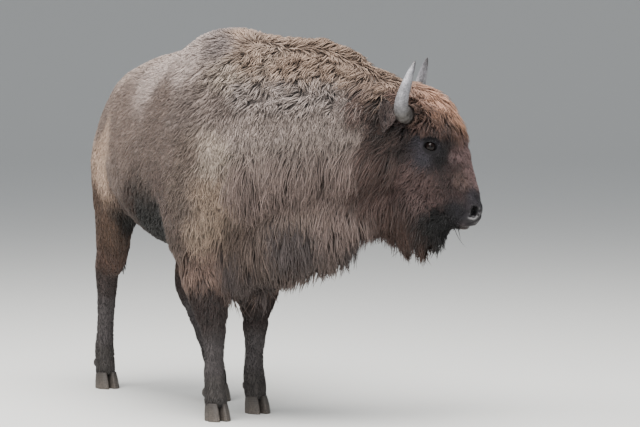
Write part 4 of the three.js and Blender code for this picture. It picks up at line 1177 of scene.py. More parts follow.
def spines(surface, roots, outline_tree, long, seed):
    """The line along each lock, its upward ways, its width, how near its clump's edge it is, and the dice."""
    places, normals, lies, fields, _ = roots
    dice = np.random.default_rng(seed)
    count, steps = len(places), RINGS[long]
    length = fields[:, LENGTH] * dice.uniform(*LENGTHS, count)
    curl, clump, depth, hang = (fields[:, k] for k in (CURL, CLUMP, DEPTH, HANG))
    size = np.where(depth > DEEP, *CLUMP_SIZES)
    middle, luck = clumps_of(places, lies, size, seed + 1)
    turn = curl * (luck[:, 0] - 0.5) * CLUMP_TURN + dice.normal(0, STRAY, count) * (1 + curl)
    way = turned(lies, normals, turn)
    climb = depth * fields[:, CLIMB] * dice.uniform(*CLIMBS, count) * (0.80 + 0.34 * luck[:, 1])
    if long:
        room = room_below(places, normals, outline_tree) * dice.uniform(*DROPS, count) + 0.012
        length = np.where(hang > HANGS_FREE, np.minimum(length, np.maximum(room, 0.03)), length)
    line = [places - normals * ROOT_SINK]
    ups = [normals]
    foot, up, heading = places, normals, way
    lean = dice.uniform(-1, 1, count)
    phase = dice.uniform(0, 2 * math.pi, count)
    for step in range(1, steps + 1):
        t = step / steps
        free = (hang * 0.85)[:, None]
        ahead = unit(heading * (1 - free) + (DOWN + heading * 0.35) * free) if long else heading
        foot = foot + ahead * (length / steps)[:, None]
        pull = (clump * (0.30 if t < 0.5 else 0.50) / steps * 2.0)[:, None]
        toward = middle + way * (length * t)[:, None] - foot
        toward = toward - up * (toward * up).sum(1, keepdims=True)
        toward = toward / np.maximum(np.linalg.norm(toward, axis=1, keepdims=True) / GATHER, 1)
        foot = foot + toward * pull
        landed, faces = nearest_on(surface, foot)
        new_up = surface.face_normals[faces]
        if long:
            outside = ((foot - landed) * new_up).sum(1) > 0
            stay = ((hang > LEAVES_SKIN) & outside)[:, None]
            foot = np.where(stay, foot, landed)
            up = unit(np.where(stay, up + new_up * 0.3, new_up))
        else:
            foot, up = landed, new_up
        heading = surface.face_lies[faces] * 0.35 + heading
        heading = unit(heading - up * (heading * up).sum(1, keepdims=True))
        side = np.cross(heading, up)
        height = climb * (t ** (0.75 - 0.2 * curl) * (1 - 0.22 * t * curl * luck[:, 2]))
        wave = np.sin(phase + t * WAVE_TURN) * curl * (WAVE + HANGING_WAVE * hang) * t
        sway = wave + lean * curl * LEAN * t
        line.append(foot + up * height[:, None] + side * sway[:, None])
        ups.append(up)
    edge = np.clip(np.linalg.norm(places - middle, axis=1) / (size * 0.6), 0, 1)
    width = fields[:, WIDTH] * dice.uniform(*WIDTHS, count)
    return np.stack(line, 1), np.stack(ups, 1), width, edge, dice


RING_WIDTHS = {False: (0.75, 1.0, 0.70), True: (0.70, 1.0, 0.95, 0.75, 0.45)}
LOCK_HEIGHT = 0.85  # of a lock's half width
CORNERS = (0.0, 1.0, 0.5)  # where a ring's left, right and top corners lie across the lock


def lock_template(long):
    """The faces of one lock: a foot, rings of three corners and a tip."""
    rings = RINGS[long]
    tip = rings * 3
    faces = [(0, 1, 2)]
    for ring in range(rings - 1):
        for a, b in ((0, 1), (1, 2), (2, 0)):
            low, high = ring * 3, ring * 3 + 3
            faces.append((low + a, high + a, high + b, low + b))
    last = (rings - 1) * 3
    faces += [(last + a, tip, last + b) for a, b in ((0, 1), (1, 2), (2, 0))]
    return faces


PATCH = 0.003  # the size of a lock's patch on the bake map


def lock_patches(long):
    """Each corner's place in a lock's patch of the bake map, across and along, from 0 to 1."""
    rings = RINGS[long]
    foot, *sides = lock_template(long)
    patches = [((0, 0), (1, 0), (0.5, 0.3))[corner] for corner in foot]
    for face in sides:
        for corner in face:
            ring, spoke = divmod(corner, 3)
            patches.append((0.5, 1.0) if ring == rings else (CORNERS[spoke], 0.05 + 0.9 * ring / rings))
    return np.array(patches)


# The way along which a region's form is unwrapped. The others run along the body.
UNWRAP_WAYS = {
    "head": ALONG,
    "forelock": ABOVE,
    "neck": head_way(0, 1),
    "tail": DOWN,
    "beard": DOWN,
    "mane": DOWN,
}
LEG_SHARE = 0.48  # of the map's width for each of a pair of legs
LEFT_LEG = 0.51  # where the left one starts


def unwrapped_legs(places, pair):
    """Heights down a pair of legs, and the way round each one, from 0 to 1."""
    left = places[:, 1] > UNDER_HUMP[1]
    middle = np.zeros((len(places), 3))
    for k, side in enumerate(("right", "left")):
        pick = left == bool(k)
        middle[pick] = np.array([leg_line(f"{side}_{pair}", z) for z in places[pick, 2]]).reshape(-1, 3)
    around = np.arctan2(places[:, 1] - middle[:, 1], places[:, 0] - middle[:, 0]) / (2 * math.pi) + 0.5
    return places[:, 2], around * LEG_SHARE + np.where(left, LEFT_LEG, 0.0)


def unwrapped_form(places, way):
    """Places along a form, and the way round it, from 0 to 1."""
    rel = places - places.mean(0)
    along = rel @ way
    flat = rel - way * along[:, None]
    first = unit(np.cross(way, [0.3, 0.9, 0.2]))
    second = np.cross(way, first)
    return along, np.arctan2(flat @ second, flat @ first) / (2 * math.pi) + 0.5


def unwrapped(places, piece):
    """Each root's place on an unwrap of the form: along its own way, and round it, from 0 to 1."""
    if piece in ("fore_legs", "hind_legs"):
        along, around = unwrapped_legs(places, {"fore_legs": "front", "hind_legs": "hind"}[piece])
    else:
        along, around = unwrapped_form(places, unit(UNWRAP_WAYS.get(piece, np.array([1.0, 0, 0]))))
    along = (along - along.min()) / max(np.ptp(along), 1e-6)
    around = (around - around.min()) / max(np.ptp(around), 1e-6)
    return np.stack([along, around], 1) * (1 - 2 * PATCH) + PATCH / 2


# How strongly painted shade darkens a lock's root and painted light brightens its tip, in a shallow coat and
# by how much more in a deep one.
ROOT_SHADE = (0.20, 0.42)
TIP_LIGHT = (0.12, 0.30)
DEEP_COAT = (0.006, 0.030)
CLUMP_EDGE_SHADE = 0.40  # painted shade at a clump's edge
LARGE_PATCHES = (0.20, 0.055, 3)  # the strength, size and seed of the coat's own patches
SMALL_PATCHES = (0.16, 0.016, 5)
LOCK_CHANCE = 0.12  # how unlike each other two locks may be
HAIR_WIDTH = 0.0012  # of the hairs painted on a lock
HAIR_STREAKS = 26  # how fast their pattern changes along it


def lock_tints(roots, level, edge, dice):
    """The colour of each vertex of each lock: painted shade at the root and at a clump's edge, painted light
    at the tip.
    """
    places, fields = roots[0], roots[3]
    deep = smooth_step(*DEEP_COAT, fields[:, DEPTH])
    share = 0.30 + 0.70 * deep[:, None]
    # painted shade towards the root and painted light towards the tip, both stronger in a deep coat
    dark = 1 - (ROOT_SHADE[0] + ROOT_SHADE[1] * share) * (1 - level[None]) ** 1.2
    light = 1 + (TIP_LIGHT[0] + TIP_LIGHT[1] * share) * level[None] ** 2
    # painted shade at a clump's edge
    clump_shade = 1 - (CLUMP_EDGE_SHADE * fields[:, CLUMP] * edge)[:, None] * (0.5 + 0.5 * level[None])
    patchy = 1 + LARGE_PATCHES[0] * rough_noise(places, *LARGE_PATCHES[1:])
    patchy = patchy + SMALL_PATCHES[0] * rough_noise(places, *SMALL_PATCHES[1:])
    chance = (dice.normal(1.0, LOCK_CHANCE, len(places)) * patchy)[:, None]
    tint = (dark * light * clump_shade * chance)[:, :, None] * fields[:, TONE][:, None, :]
    return tint.reshape(-1, 3)


def grow_locks(piece, surface, roots, outline_tree, long, seed):
    """Mesh arrays of the locks on the given roots: places, corners, face sizes, tints and both maps."""
    line, ups, width, edge, dice = spines(surface, roots, outline_tree, long, seed)
    count, rings = len(line), RINGS[long]
    ahead = np.empty_like(line)
    ahead[:, 0] = line[:, 1] - line[:, 0]
    ahead[:, 1:-1] = line[:, 2:] - line[:, :-2]
    ahead[:, -1] = line[:, -1] - line[:, -2]
    ahead = unit(ahead)
    side = unit(np.cross(ahead, ups))
    top = np.cross(side, ahead)
    parts = []
    for ring, share in enumerate(RING_WIDTHS[long]):
        wide = (width * share / 2)[:, None]
        middle = line[:, ring]
        parts.append(middle - side[:, ring] * wide)
        parts.append(middle + side[:, ring] * wide)
        parts.append(middle + top[:, ring] * wide * LOCK_HEIGHT)
    parts.append(line[:, -1])
    places = np.stack(parts, 1).reshape(-1, 3)

    faces = lock_template(long)
    flat = np.array([c for f in faces for c in f])
    sizes = np.tile([len(f) for f in faces], count)
    corners = (flat[None] + np.arange(count)[:, None] * len(parts)).ravel()

    level = np.array([k / rings for k in range(rings) for _ in range(3)] + [1.0])
    tint = lock_tints(roots, level, edge, dice)
    patches = (lock_patches(long) - 0.5) * PATCH
    bake = (unwrapped(roots[0], piece)[:, None] + patches[None]).reshape(-1, 2)
    across = np.array([CORNERS[c % 3] if c < rings * 3 else 0.5 for c in flat])
    length = np.linalg.norm(np.diff(line, axis=1), axis=2).sum(1)
    along = level[flat][None] * length[:, None] * HAIR_STREAKS
    hairs = across[None] * (width / HAIR_WIDTH)[:, None]
    shift = dice.uniform(0, 90, (count, 2))  # so that no two locks show the same hairs
    strand = np.stack([hairs + shift[:, :1], along + shift[:, 1:]], 2).reshape(-1, 2)
    return places, corners, sizes, tint, bake, strand


COAT_SLOTS = {
    "rump": "flank_hide",
    "flank": "flank_hide",
    "shoulder": "neck_hide",
    "neck": "neck_hide",
    "mane": "mane_hair",
    "beard": "beard_hair",
    "forelock": "head_hide",
    "head": "head_hide",
    "fore_legs": "leg_hide",
    "hind_legs": "leg_hide",
    "tail": "beard_hair",
    "ears": "head_hide",
    "horn_collars": "head_hide",
}
COAT_REPLACES = {"mane": ["throat_mane"], "beard": ["beard"], "tail": ["tail_tuft"]}
TWO_SIDED = ("rump", "flank", "shoulder", "neck", "mane", "head")
HEAD_PIECES = ("head", "forelock", "beard")
LONG_HAIR = 0.10  # hair from this length on gets the long lock


def on_left(places, piece):
    """Whether each place is left of the middle, which bends with the neck."""
    if piece in HEAD_PIECES:
        return in_head(places)[:, 2] > 0
    middle = np.interp(places[:, 0] - UNDER_HUMP[0], *zip(*MIDLINE))
    return places[:, 1] - UNDER_HUMP[1] > middle


def grow_region(piece, surface, roots, outline_tree, seed):
    """Mesh arrays of a region's short and long locks, joined."""
    long_ones = (roots[3][:, LENGTH] > LONG_HAIR) & (piece != "ears")
    arrays, offset = [], 0
    for long in (False, True):
        chosen = long_ones == long
        if not chosen.any():
            continue
        built = grow_locks(piece, surface, tuple(a[chosen] for a in roots), outline_tree, long, seed + long)
        arrays.append((built[0], built[1] + offset, *built[2:]))
        offset += len(built[0])
    return [np.concatenate(kind) for kind in zip(*arrays)]


def coat_piece(name, piece, arrays, material, nodes):
    """An object from a region's mesh arrays."""
    places, corners, sizes, tint, bake, strand = arrays
    coat = new_mesh_object(name, places, corners, sizes)
    paint(coat, "Tint", tint)
    lay_out(coat, "OFBake", bake)
    lay_out(coat, "Strand", strand)
    finish_piece(coat, material, COAT_SLOTS[piece], *nodes)
    print("coat", name, len(sizes), len(corners))


SEED_STEP = 7  # between one piece of the coat and the next


def coat_pieces(surface, roots, outline_tree, material, seed, only=None):
    """Makes the coat's pieces from strewn roots, one for each region and side."""
    places, strongest = roots[0], roots[4]
    regions = np.array([GUIDE_PIECES[k] for k in strongest]) if only is None else np.full(len(places), only)
    for piece in COAT_SLOTS:
        here = regions == piece
        left = on_left(places, piece)
        parts = [("right", here & ~left), ("left", here & left)] if piece in TWO_SIDED else [("", here)]
        for side, pick in parts:
            if not pick.any():
                continue
            name = "_".join(filter(None, [side, piece, "coat"]))
            arrays = grow_region(piece, surface, tuple(a[pick] for a in roots), outline_tree, seed)
            nodes = COAT_REPLACES.get(piece, []) if side != "left" else []
            coat_piece(name, piece, arrays, material, nodes)
            seed += SEED_STEP


# ------------------------------------------------------------------------------ horns, ears, eyes, hooves
HORN_PATH = [
    (0.062, -0.036, 0.050),
    (0.056, -0.046, 0.096),
    (0.054, -0.062, 0.146),
    (0.036, -0.068, 0.190),
    (-0.004, -0.042, 0.212),
    (-0.058, 0.016, 0.206),
    (-0.116, 0.083, 0.176),
]
HORN_BASE = 0.0375  # the radius at the foot
HORN_TIP = 0.004  # keeps the tip from closing to a point
HORN_SPOKES = 28
HORN_RINGS = 90
HORN_FLAT = (1.04, 0.96)  # the horn's section, up and across
RIDGES = 19
RIDGED = (0.03, 0.62)  # the part of the horn that has ridges
RIDGE_WIDTH = 0.007
RIDGE_DEPTH = 0.0024
RIDGES_FADE = (0.45, 0.75)
DEEPEST_GROOVE = 1.2  # grooves that meet go no deeper, in ridges
LUMP = 0.03


def smooth_path(points, count):
    """Evenly spaced points on a soft curve through the given ones."""
    points = np.array(points, float)
    padded = np.concatenate([2 * points[:1] - points[1:2], points, 2 * points[-1:] - points[-2:-1]])
    result = []
    for t in np.linspace(0, len(points) - 1, count):
        k = min(int(t), len(points) - 2)
        f = t - k
        a, b, c, d = padded[k : k + 4]
        square, cube = 2 * a - 5 * b + 4 * c - d, 3 * b - a - 3 * c + d
        result.append(0.5 * (2 * b + (c - a) * f + square * f**2 + cube * f**3))
    return np.array(result)


def horn_line(side):
    """Points along the middle of a horn, the way ahead at each, and the upward way at the foot."""
    path = smooth_path([on_head(a, b, c * side) for a, b, c in HORN_PATH], HORN_RINGS)
    ahead = unit(np.gradient(path, axis=0))
    return path, ahead, unit(np.cross(ahead[0], LEFT * side + ABOVE * 0.3))


def horn_radius(f, ridges):
    """A horn's radius at a share of its length, with a groove at each ridge, and how ridged it is there."""
    ridged = 1 - smooth_step(*RIDGES_FADE, f)
    groove = sum(math.exp(-(((f - r) / RIDGE_WIDTH) ** 2)) for r in ridges)
    radius = HORN_BASE * max(1 - f**2.4, HORN_TIP) ** 0.58
    return radius - ridged * RIDGE_DEPTH * min(groove, DEEPEST_GROOVE), ridged


def make_horn(name, side):
    """One horn: a circle extruded along a tapering curve, with rough ridges near its foot."""
    path, ahead, up = horn_line(side)
    ridges = np.sort(np.random.default_rng(40 + side).uniform(*RIDGED, RIDGES))
    bm = bmesh.new()
    bmesh.ops.create_circle(bm, cap_ends=True, segments=HORN_SPOKES, radius=HORN_BASE)
    layer = bm.verts.layers.float_color.new("Tint")
    bm.faces.ensure_lookup_table()
    face = bm.faces[0]
    foot = list(face.verts)
    for k, (p, t) in enumerate(zip(path, ahead)):
        if k:
            face = bmesh.ops.extrude_discrete_faces(bm, faces=[face])["faces"][0]
        f = k / (HORN_RINGS - 1)
        up = unit(up - t * (up @ t))
        across = np.cross(t, up)
        radius, ridged = horn_radius(f, ridges)
        for spoke, vertex in enumerate(face.verts):
            angle = 2 * math.pi * spoke / HORN_SPOKES
            lump = 1 + LUMP * ridged * math.sin(angle * 5 + f * 30)
            way = up * math.cos(angle) * HORN_FLAT[0] + across * math.sin(angle) * HORN_FLAT[1]
            vertex.co = p + way * radius * lump
            vertex[layer] = (f, f, f, 1)
    bm.faces.new(foot)
    return object_from(bm, name)


# The horn's colour at shares of its length.
HORN_TONES = [
    (0.0, "#1d1a18"),
    (0.38, "#2c2725"),
    (0.52, "#4d4946"),
    (0.68, "#7d7b7e"),
    (0.90, "#8b8a8f"),
    (1.0, "#2a2625"),
]


def horn_material():
    """Horn: dark and rough at the base, paler along the curve, and darker again at the tip."""
    material, tree, shader = plain_material("horn", roughness=0.42, specular=0.45)
    ramp = tree.nodes.new("ShaderNodeValToRGB")
    for k, (place, colour) in enumerate(HORN_TONES):
        stop = ramp.color_ramp.elements[k] if k < 2 else ramp.color_ramp.elements.new(place)
        stop.position = place
        stop.color = (*linear(colour), 1)
    tree.links.new(painted(tree, "Tint"), ramp.inputs[0])
    mottle = use_group(tree, "mottle", mottle_group)
    shade = scaled(tree, mottle["Specks"], 0.80, 0.55)
    shade = math_node(tree, "MULTIPLY", shade, scaled(tree, mottle["Blotches"], 0.70, 0.62))
    tree.links.new(mix_colours(tree, "MULTIPLY", 1.0, ramp.outputs[0], shade), shader.inputs["Base Color"])
    bumped(tree, shader, mottle["Specks"], distance=0.0010, strength=0.7)
    return material


COLLAR = range(10, 34, 3)  # the rings of the horn that hair grows over
COLLAR_RADIUS = 0.93  # of the horn's foot


def make_collar(side):
    """The foot of a horn, as a surface for hair: places, triangles and the hair's lie."""
    path, ahead, up = horn_line(side)
    places, lies, triangles = [], [], []
    for k in COLLAR:
        up = unit(up - ahead[k] * (up @ ahead[k]))
        across = np.cross(ahead[k], up)
        for spoke in range(HORN_SPOKES):
            angle = 2 * math.pi * spoke / HORN_SPOKES
            way = up * math.cos(angle) + across * math.sin(angle)
            places.append(path[k] + way * HORN_BASE * COLLAR_RADIUS)
            lies.append(ahead[k])
    for ring in range(len(COLLAR) - 1):
        for k in range(HORN_SPOKES):
            a, b = ring * HORN_SPOKES + k, ring * HORN_SPOKES + (k + 1) % HORN_SPOKES
            triangles += [(a, b, b + HORN_SPOKES), (a, b + HORN_SPOKES, a + HORN_SPOKES)]
    places, triangles = np.array(places), np.array(triangles)
    return places, outward(places, triangles, path[(COLLAR.start + COLLAR.stop) // 2]), np.array(lies)


def outward(places, triangles, centre):
    """The triangles turned so that they face away from a centre."""
    a, b, c = (places[triangles[:, k]] for k in range(3))
    volume = (np.cross(b - a, c - a) * (a - centre)).sum()
    return triangles[:, ::-1] if volume < 0 else triangles


EAR_LENGTH = 0.138
EAR_WIDTH = 0.094
EAR_ROOT = 0.12  # the share of the length that lies inside the head
EAR_CUP = 0.016
EAR_WALL = 0.005
EAR_NOTCH = 0.010  # how far the sides of the tip fall back
EAR_GRID = (26, 18)  # points along and across
EAR_ROOM = 0.042  # kept free of the coat round an ear
EAR_SHADOW = 0.35  # the coat's brightness close to an ear
EAR_SHADOW_REACH = (0.9 * EAR_ROOM, 2.1 * EAR_ROOM)
EAR_HAIR_TONE = "#4d403d"
EAR_SKIN_TONE = "#1b1516"


def ear_frame(side):
    """An ear's root, its long way, its way across, and the way its hollow faces."""
    root = on_head(-0.022, -0.106, 0.163 * side)
    long = head_way(0.074, -0.056, 0.046 * side)
    open_way = head_way(0.42, 0.22, 0.88 * side)
    open_way = unit(open_way - long * (open_way @ long))
    return root, long, np.cross(long, open_way), open_way


def ear_point(side, layer, t, s):
    """A point of an ear's inner or outer layer, a share along it and from -1 to 1 across it."""
    root, long, across, face = ear_frame(side)
    half = EAR_WIDTH / 2 * math.sin(math.pi * (0.14 + 0.86 * t) ** 0.82) ** 0.75 if t < 1 else 0.001
    half = max(half, 0.001)
    wall = EAR_WALL * (1 - s * s) ** 0.5 * (1 - 0.6 * t) * layer
    hollow = EAR_CUP * (s * s) * (0.4 + math.sin(math.pi * min(t + 0.15, 1)))
    p = root + long * (EAR_LENGTH * (t - EAR_ROOT)) + across * half * s * (1 - 0.20 * s * s * (1 - t))
    return p + face * (hollow - wall) + long * (-EAR_NOTCH * s * s * t)


def make_ear_shell(side):
    """An ear's leaf: a cupped sheet with thickness, as places, triangles and its lie."""
    rows, columns = EAR_GRID
    grid = {}
    places = []
    for layer in (0, 1):
        for r in range(rows):
            for c in range(columns):
                grid[layer, r, c] = len(places)
                places.append(ear_point(side, layer, r / (rows - 1), 2 * c / (columns - 1) - 1))
    triangles = []
    for layer in (0, 1):
        for r in range(rows - 1):
            for c in range(columns - 1):
                a, b = grid[layer, r, c], grid[layer, r, c + 1]
                d, e = grid[layer, r + 1, c], grid[layer, r + 1, c + 1]
                triangles += [(a, b, e), (a, e, d)] if layer == 0 else [(a, d, e), (a, e, b)]
    rim = [(0, c) for c in range(columns)] + [(r, columns - 1) for r in range(1, rows)]
    rim += [(rows - 1, c) for c in range(columns - 2, -1, -1)] + [(r, 0) for r in range(rows - 2, 0, -1)]
    for (r, c), (r2, c2) in zip(rim, rim[1:] + rim[:1]):
        a, b, d, e = grid[0, r, c], grid[0, r2, c2], grid[1, r, c], grid[1, r2, c2]
        triangles += [(a, d, e), (a, e, b)]
    places, triangles = np.array(places), np.array(triangles)
    return places, outward(places, triangles, places.mean(0)), ear_frame(side)[1]


EYE_SEGMENTS = (56, 40)  # round the eye, and from front to back
EYE_SINK = 0.0006  # under the lids
CORNEA = 0.0016  # how far it bulges
CORNEA_EDGE = 0.62  # in radians from the eye's axis
IRIS_EDGE = (0.62, 0.72)
PUPIL = (0.36, 0.16)  # half its length and half its height, in radii of the ball
PUPIL_EDGE = (0.85, 1.0)
WHITE_TONE = "#171110"  # as dark as the rest of the eye
IRIS_TONE = "#150d0b"
PUPIL_TONE = "#050506"


def eye_tint(polar, across, up):
    """The eye's colour at an angle from its axis and at shares of its radius across and up."""
    pupil = 1 - float(smooth_step(*PUPIL_EDGE, ((across / PUPIL[0]) ** 4 + (up / PUPIL[1]) ** 4) ** 0.25))
    pupil = pupil if polar < math.pi / 2 else 0.0
    iris = 1 - float(smooth_step(*IRIS_EDGE, polar))
    colour = linear(WHITE_TONE) * (1 - iris) + linear(IRIS_TONE) * iris
    return colour * (1 - pupil) + linear(PUPIL_TONE) * pupil


def make_eye(name, side, material):
    """An eyeball with its bulging cornea."""
    look, slit, up = eye_axes(side)
    bm = bmesh.new()
    bmesh.ops.create_uvsphere(bm, u_segments=EYE_SEGMENTS[0], v_segments=EYE_SEGMENTS[1], radius=1)
    layer = bm.verts.layers.float_color.new("Tint")
    for vertex in bm.verts:
        across, high, front = vertex.co
        polar = math.acos(min(max(front, -1), 1))
        reach = EYE_RADIUS - EYE_SINK + CORNEA * float(1 - smooth_step(0.0, CORNEA_EDGE, polar))
        vertex[layer] = (*eye_tint(polar, across, high), 1)
        vertex.co = EYES[name] + (slit * across + up * high + look * front) * reach
    return finish_piece(object_from(bm, "eyeball_" + name), material, "eye", name + "_eye")


def eye_material():
    """A wet, dark eye."""
    material, tree, shader = plain_material("eye", roughness=0.13, specular=0.14)
    tree.links.new(painted(tree, "Tint", "Color"), shader.inputs["Base Color"])
    shader.inputs["Coat Weight"].default_value = 0.05
    shader.inputs["Coat Roughness"].default_value = 0.02
    return material


CLAW_CELL = 0.003  # the size of the faces that a claw's solid is evened to, and a dewclaw's
DEWCLAW_CELL = 0.0022
DEWCLAW_REACH = 0.10  # skin this near a dewclaw is its pastern
DEWCLAW_BAND = 0.008  # and this near its height
DEWCLAW_SIZE = 1.25
DEWCLAW_SINK = 0.013
SOLE = 0.002  # below this height a claw is flat on the floor


def make_hoof(node, material):
    """A claw or dewclaw: the frame's solid, evened and rounded."""
    small = "dewclaw" in node
    mesh = evened(grown_solids([node]), DEWCLAW_CELL if small else CLAW_CELL)
    places, triangles = arrays_of(mesh)
    bpy.data.meshes.remove(mesh)
    places = relax(places, edges_of(triangles), 0.5, 3 if small else 6)
    if small:
        middle = places.mean(0)
        skin = BUILT["surface"].places
        near = np.abs(skin[:, 2] - middle[2]) < DEWCLAW_BAND
        near &= np.linalg.norm(skin[:, :2] - middle[:2], axis=1) < DEWCLAW_REACH
        pull = skin[near].mean(0) - middle
        pull[2] = 0
        places = middle + (places - middle) * DEWCLAW_SIZE + pull * DEWCLAW_SINK / np.linalg.norm(pull)
    else:
        places[places[:, 2] < SOLE, 2] = 0.0
    name = "hoof_" + node.replace("_claw", "").replace("_dewclaw", "_small")
    hoof = new_mesh_object(name, places, triangles.ravel(), np.full(len(triangles), 3))
    return finish_piece(hoof, material, "hoof", node)


def hoof_material(settings):
    """Hoof horn: growth rings across it, dusty with dried mud."""
    material, tree, shader = plain_material("hoof", roughness=0.60, specular=0.35)
    where = tree.nodes.new("ShaderNodeTexCoord").outputs["Object"]
    split = tree.nodes.new("ShaderNodeSeparateXYZ")
    tree.links.new(where, split.inputs[0])
    wave = tree.nodes.new("ShaderNodeTexWave")
    wave.bands_direction = "Z"
    wave.inputs["Scale"].default_value = 42.0
    wave.inputs["Distortion"].default_value = 2.5
    wave.inputs["Detail"].default_value = 2.0
    tree.links.new(where, wave.inputs["Vector"])
    rings = wave.outputs["Fac"]
    mottle = use_group(tree, "mottle", mottle_group)
    mud = math_node(tree, "MULTIPLY", mottle["Specks"], ramped(tree, split.outputs["Z"], 0.075, 0.0))
    horn = mix_colours(tree, "MIX", rings, (*settings.hoof_tone, 1), (*settings.ring_tone, 1))
    muddy = mix_colours(tree, "MIX", mud, horn, (*settings.mud_tone, 1))
    tree.links.new(muddy, shader.inputs["Base Color"])
    height = math_node(tree, "ADD", rings, mottle["Specks"])
    bumped(tree, shader, height, distance=0.0010, strength=0.5)
    return material


# ------------------------------------------------------------------------------ stage
# Places of the camera and lights are measured from the floor under the hump.
CAMERA_PLACE = (10.53153, -4.64064, 1.55)
CAMERA_AHEAD = (-0.89710, 0.43755, -0.06134)
CAMERA_LENS = 152.02
SENSOR = 36.0
FURTHEST_SEEN = 200.0
LIGHTS_AIM = (-0.1, 0.1, 0.95)
# Name, the setting with its power, place, size and colour.
LIGHTS = [
    ("key_light", "key_power", (0.8, -1.2, 6.5), 6.0, (1.0, 0.98, 0.95)),
    ("fill_light", "fill_power", (7.0, -5.0, 3.0), 5.0, (0.95, 0.97, 1.0)),
]
SKY_TONE = (0.90, 0.94, 1.0)
FLOOR_RADIUS = 26.0
FLOOR_CURVE = 22.0
FLOOR_RISE = math.radians(88)  # how steep the floor is at its edge
FLOOR_STEPS = 24
FLOOR_SPOKES = 96


def make_floor(tone):
    """A wide pale floor that curves up all round, far off: a profile spun round the animal."""
    profile = [(0.0, 0.0), (FLOOR_RADIUS, 0.0)]
    for k in range(1, FLOOR_STEPS + 1):
        turn = FLOOR_RISE * k / FLOOR_STEPS
        profile.append((FLOOR_RADIUS + FLOOR_CURVE * math.sin(turn), FLOOR_CURVE * (1 - math.cos(turn))))
    bm = bmesh.new()
    points = [bm.verts.new(on_body(radius, 0, height)) for radius, height in profile]
    lines = [bm.edges.new(pair) for pair in zip(points, points[1:])]
    bmesh.ops.spin(
        bm,
        geom=points + lines,
        cent=on_body(0, 0, 0),
        axis=(0, 0, 1),
        angle=2 * math.pi,
        steps=FLOOR_SPOKES,
        use_merge=True,
    )
    bmesh.ops.remove_doubles(bm, verts=bm.verts, dist=1e-4)
    floor = object_from(bm, "floor")
    material, _tree, shader = plain_material("floor", roughness=0.9, specular=0.1)
    shader.inputs["Base Color"].default_value = (*tone, 1)
    floor.data.materials.append(material)
    return floor


def aim(thing, place, ahead):
    """Sets an object at a place, looking ahead."""
    thing.location = place
    thing.rotation_euler = Vector(ahead).to_track_quat("-Z", "Y").to_euler()


def make_light(name, place, size, power, colour):
    """A soft square light aimed at the animal's middle."""
    data = bpy.data.lights.new(name, "AREA")
    data.size = size
    data.energy = power
    data.color = colour
    light = bpy.data.objects.new(name, data)
    bpy.context.collection.objects.link(light)
    start = on_body(*place)
    aim(light, start, on_body(*LIGHTS_AIM) - start)


def make_sky(strength):
    """Even light from all round."""
    world = bpy.data.worlds.new("sky")
    world.use_nodes = True
    background = world.node_tree.nodes["Background"]
    background.inputs["Color"].default_value = (*SKY_TONE, 1)
    background.inputs["Strength"].default_value = strength
    bpy.context.scene.world = world


def make_camera():
    """The camera, in front of the animal and to its right, at about the height of its hump."""
    data = bpy.data.cameras.new("camera")
    data.lens = CAMERA_LENS
    data.sensor_width = SENSOR
    data.clip_end = FURTHEST_SEEN
    camera = bpy.data.objects.new("camera", data)
    bpy.context.collection.objects.link(camera)
    aim(camera, on_body(*CAMERA_PLACE), CAMERA_AHEAD)
    bpy.context.scene.camera = camera


# ------------------------------------------------------------------------------ settings
def tone_setting(name, description, default):
    """A colour that can be changed."""
    return bpy.props.FloatVectorProperty(
        name=name, description=description, default=tuple(default), subtype="COLOR", size=3, min=0, max=1
    )


def power_setting(name, description, default):
    """A light's power that can be changed."""
    return bpy.props.FloatProperty(name=name, description=description, default=default, unit="POWER", min=0)


class WisentSettings(bpy.types.PropertyGroup):
    """What the maker of the wisent can change."""

    seed: bpy.props.IntProperty(name="Seed", description="Start of the hair's strewing", default=11, min=0)
    hoof_tone: tone_setting("Hoof", "Colour of the hooves", linear("#2f2b29"))
    ring_tone: tone_setting("Growth rings", "Colour of the hooves' growth rings", linear("#3d3835"))
    mud_tone: tone_setting("Mud", "Colour of the dried mud on the hooves", linear("#6b635b"))
    floor_tone: tone_setting("Floor", "Colour of the floor", (0.62, 0.62, 0.60))
    key_power: power_setting("Key light", "Power of the light overhead", 1500.0)
    fill_power: power_setting("Fill light", "Power of the light in front", 300.0)
    sky: bpy.props.FloatProperty(name="Sky", description="Strength of light all round", default=0.62, min=0)


BUILT = {}  # the hide's surface and outline and the coat's material, for the pieces made after them


# How the hide is painted beyond the guides' tones.
RIM_HIGHLIGHT_TONE = "#8a8888"  # painted highlight on the wet front rim of the nostrils
LID_TONE = "#1c1a1c"
SHADE_UNDER_COAT = 0.45  # painted shade: how much darker the skin is under a deep coat, which shades it
BARE_SKIN = (0.25, 0.75)  # from hair to skin, in the guides' BARE
HIGHLIGHT_PATCHES = (0.014, 5)  # the size and seed of the patches where the painted highlight falls
PAINTED_RIM = (1.18, 0.20)
MOUTH_LINE_SHADE = 0.0045
PAINTED_LIDS = (0.028, 0.040)


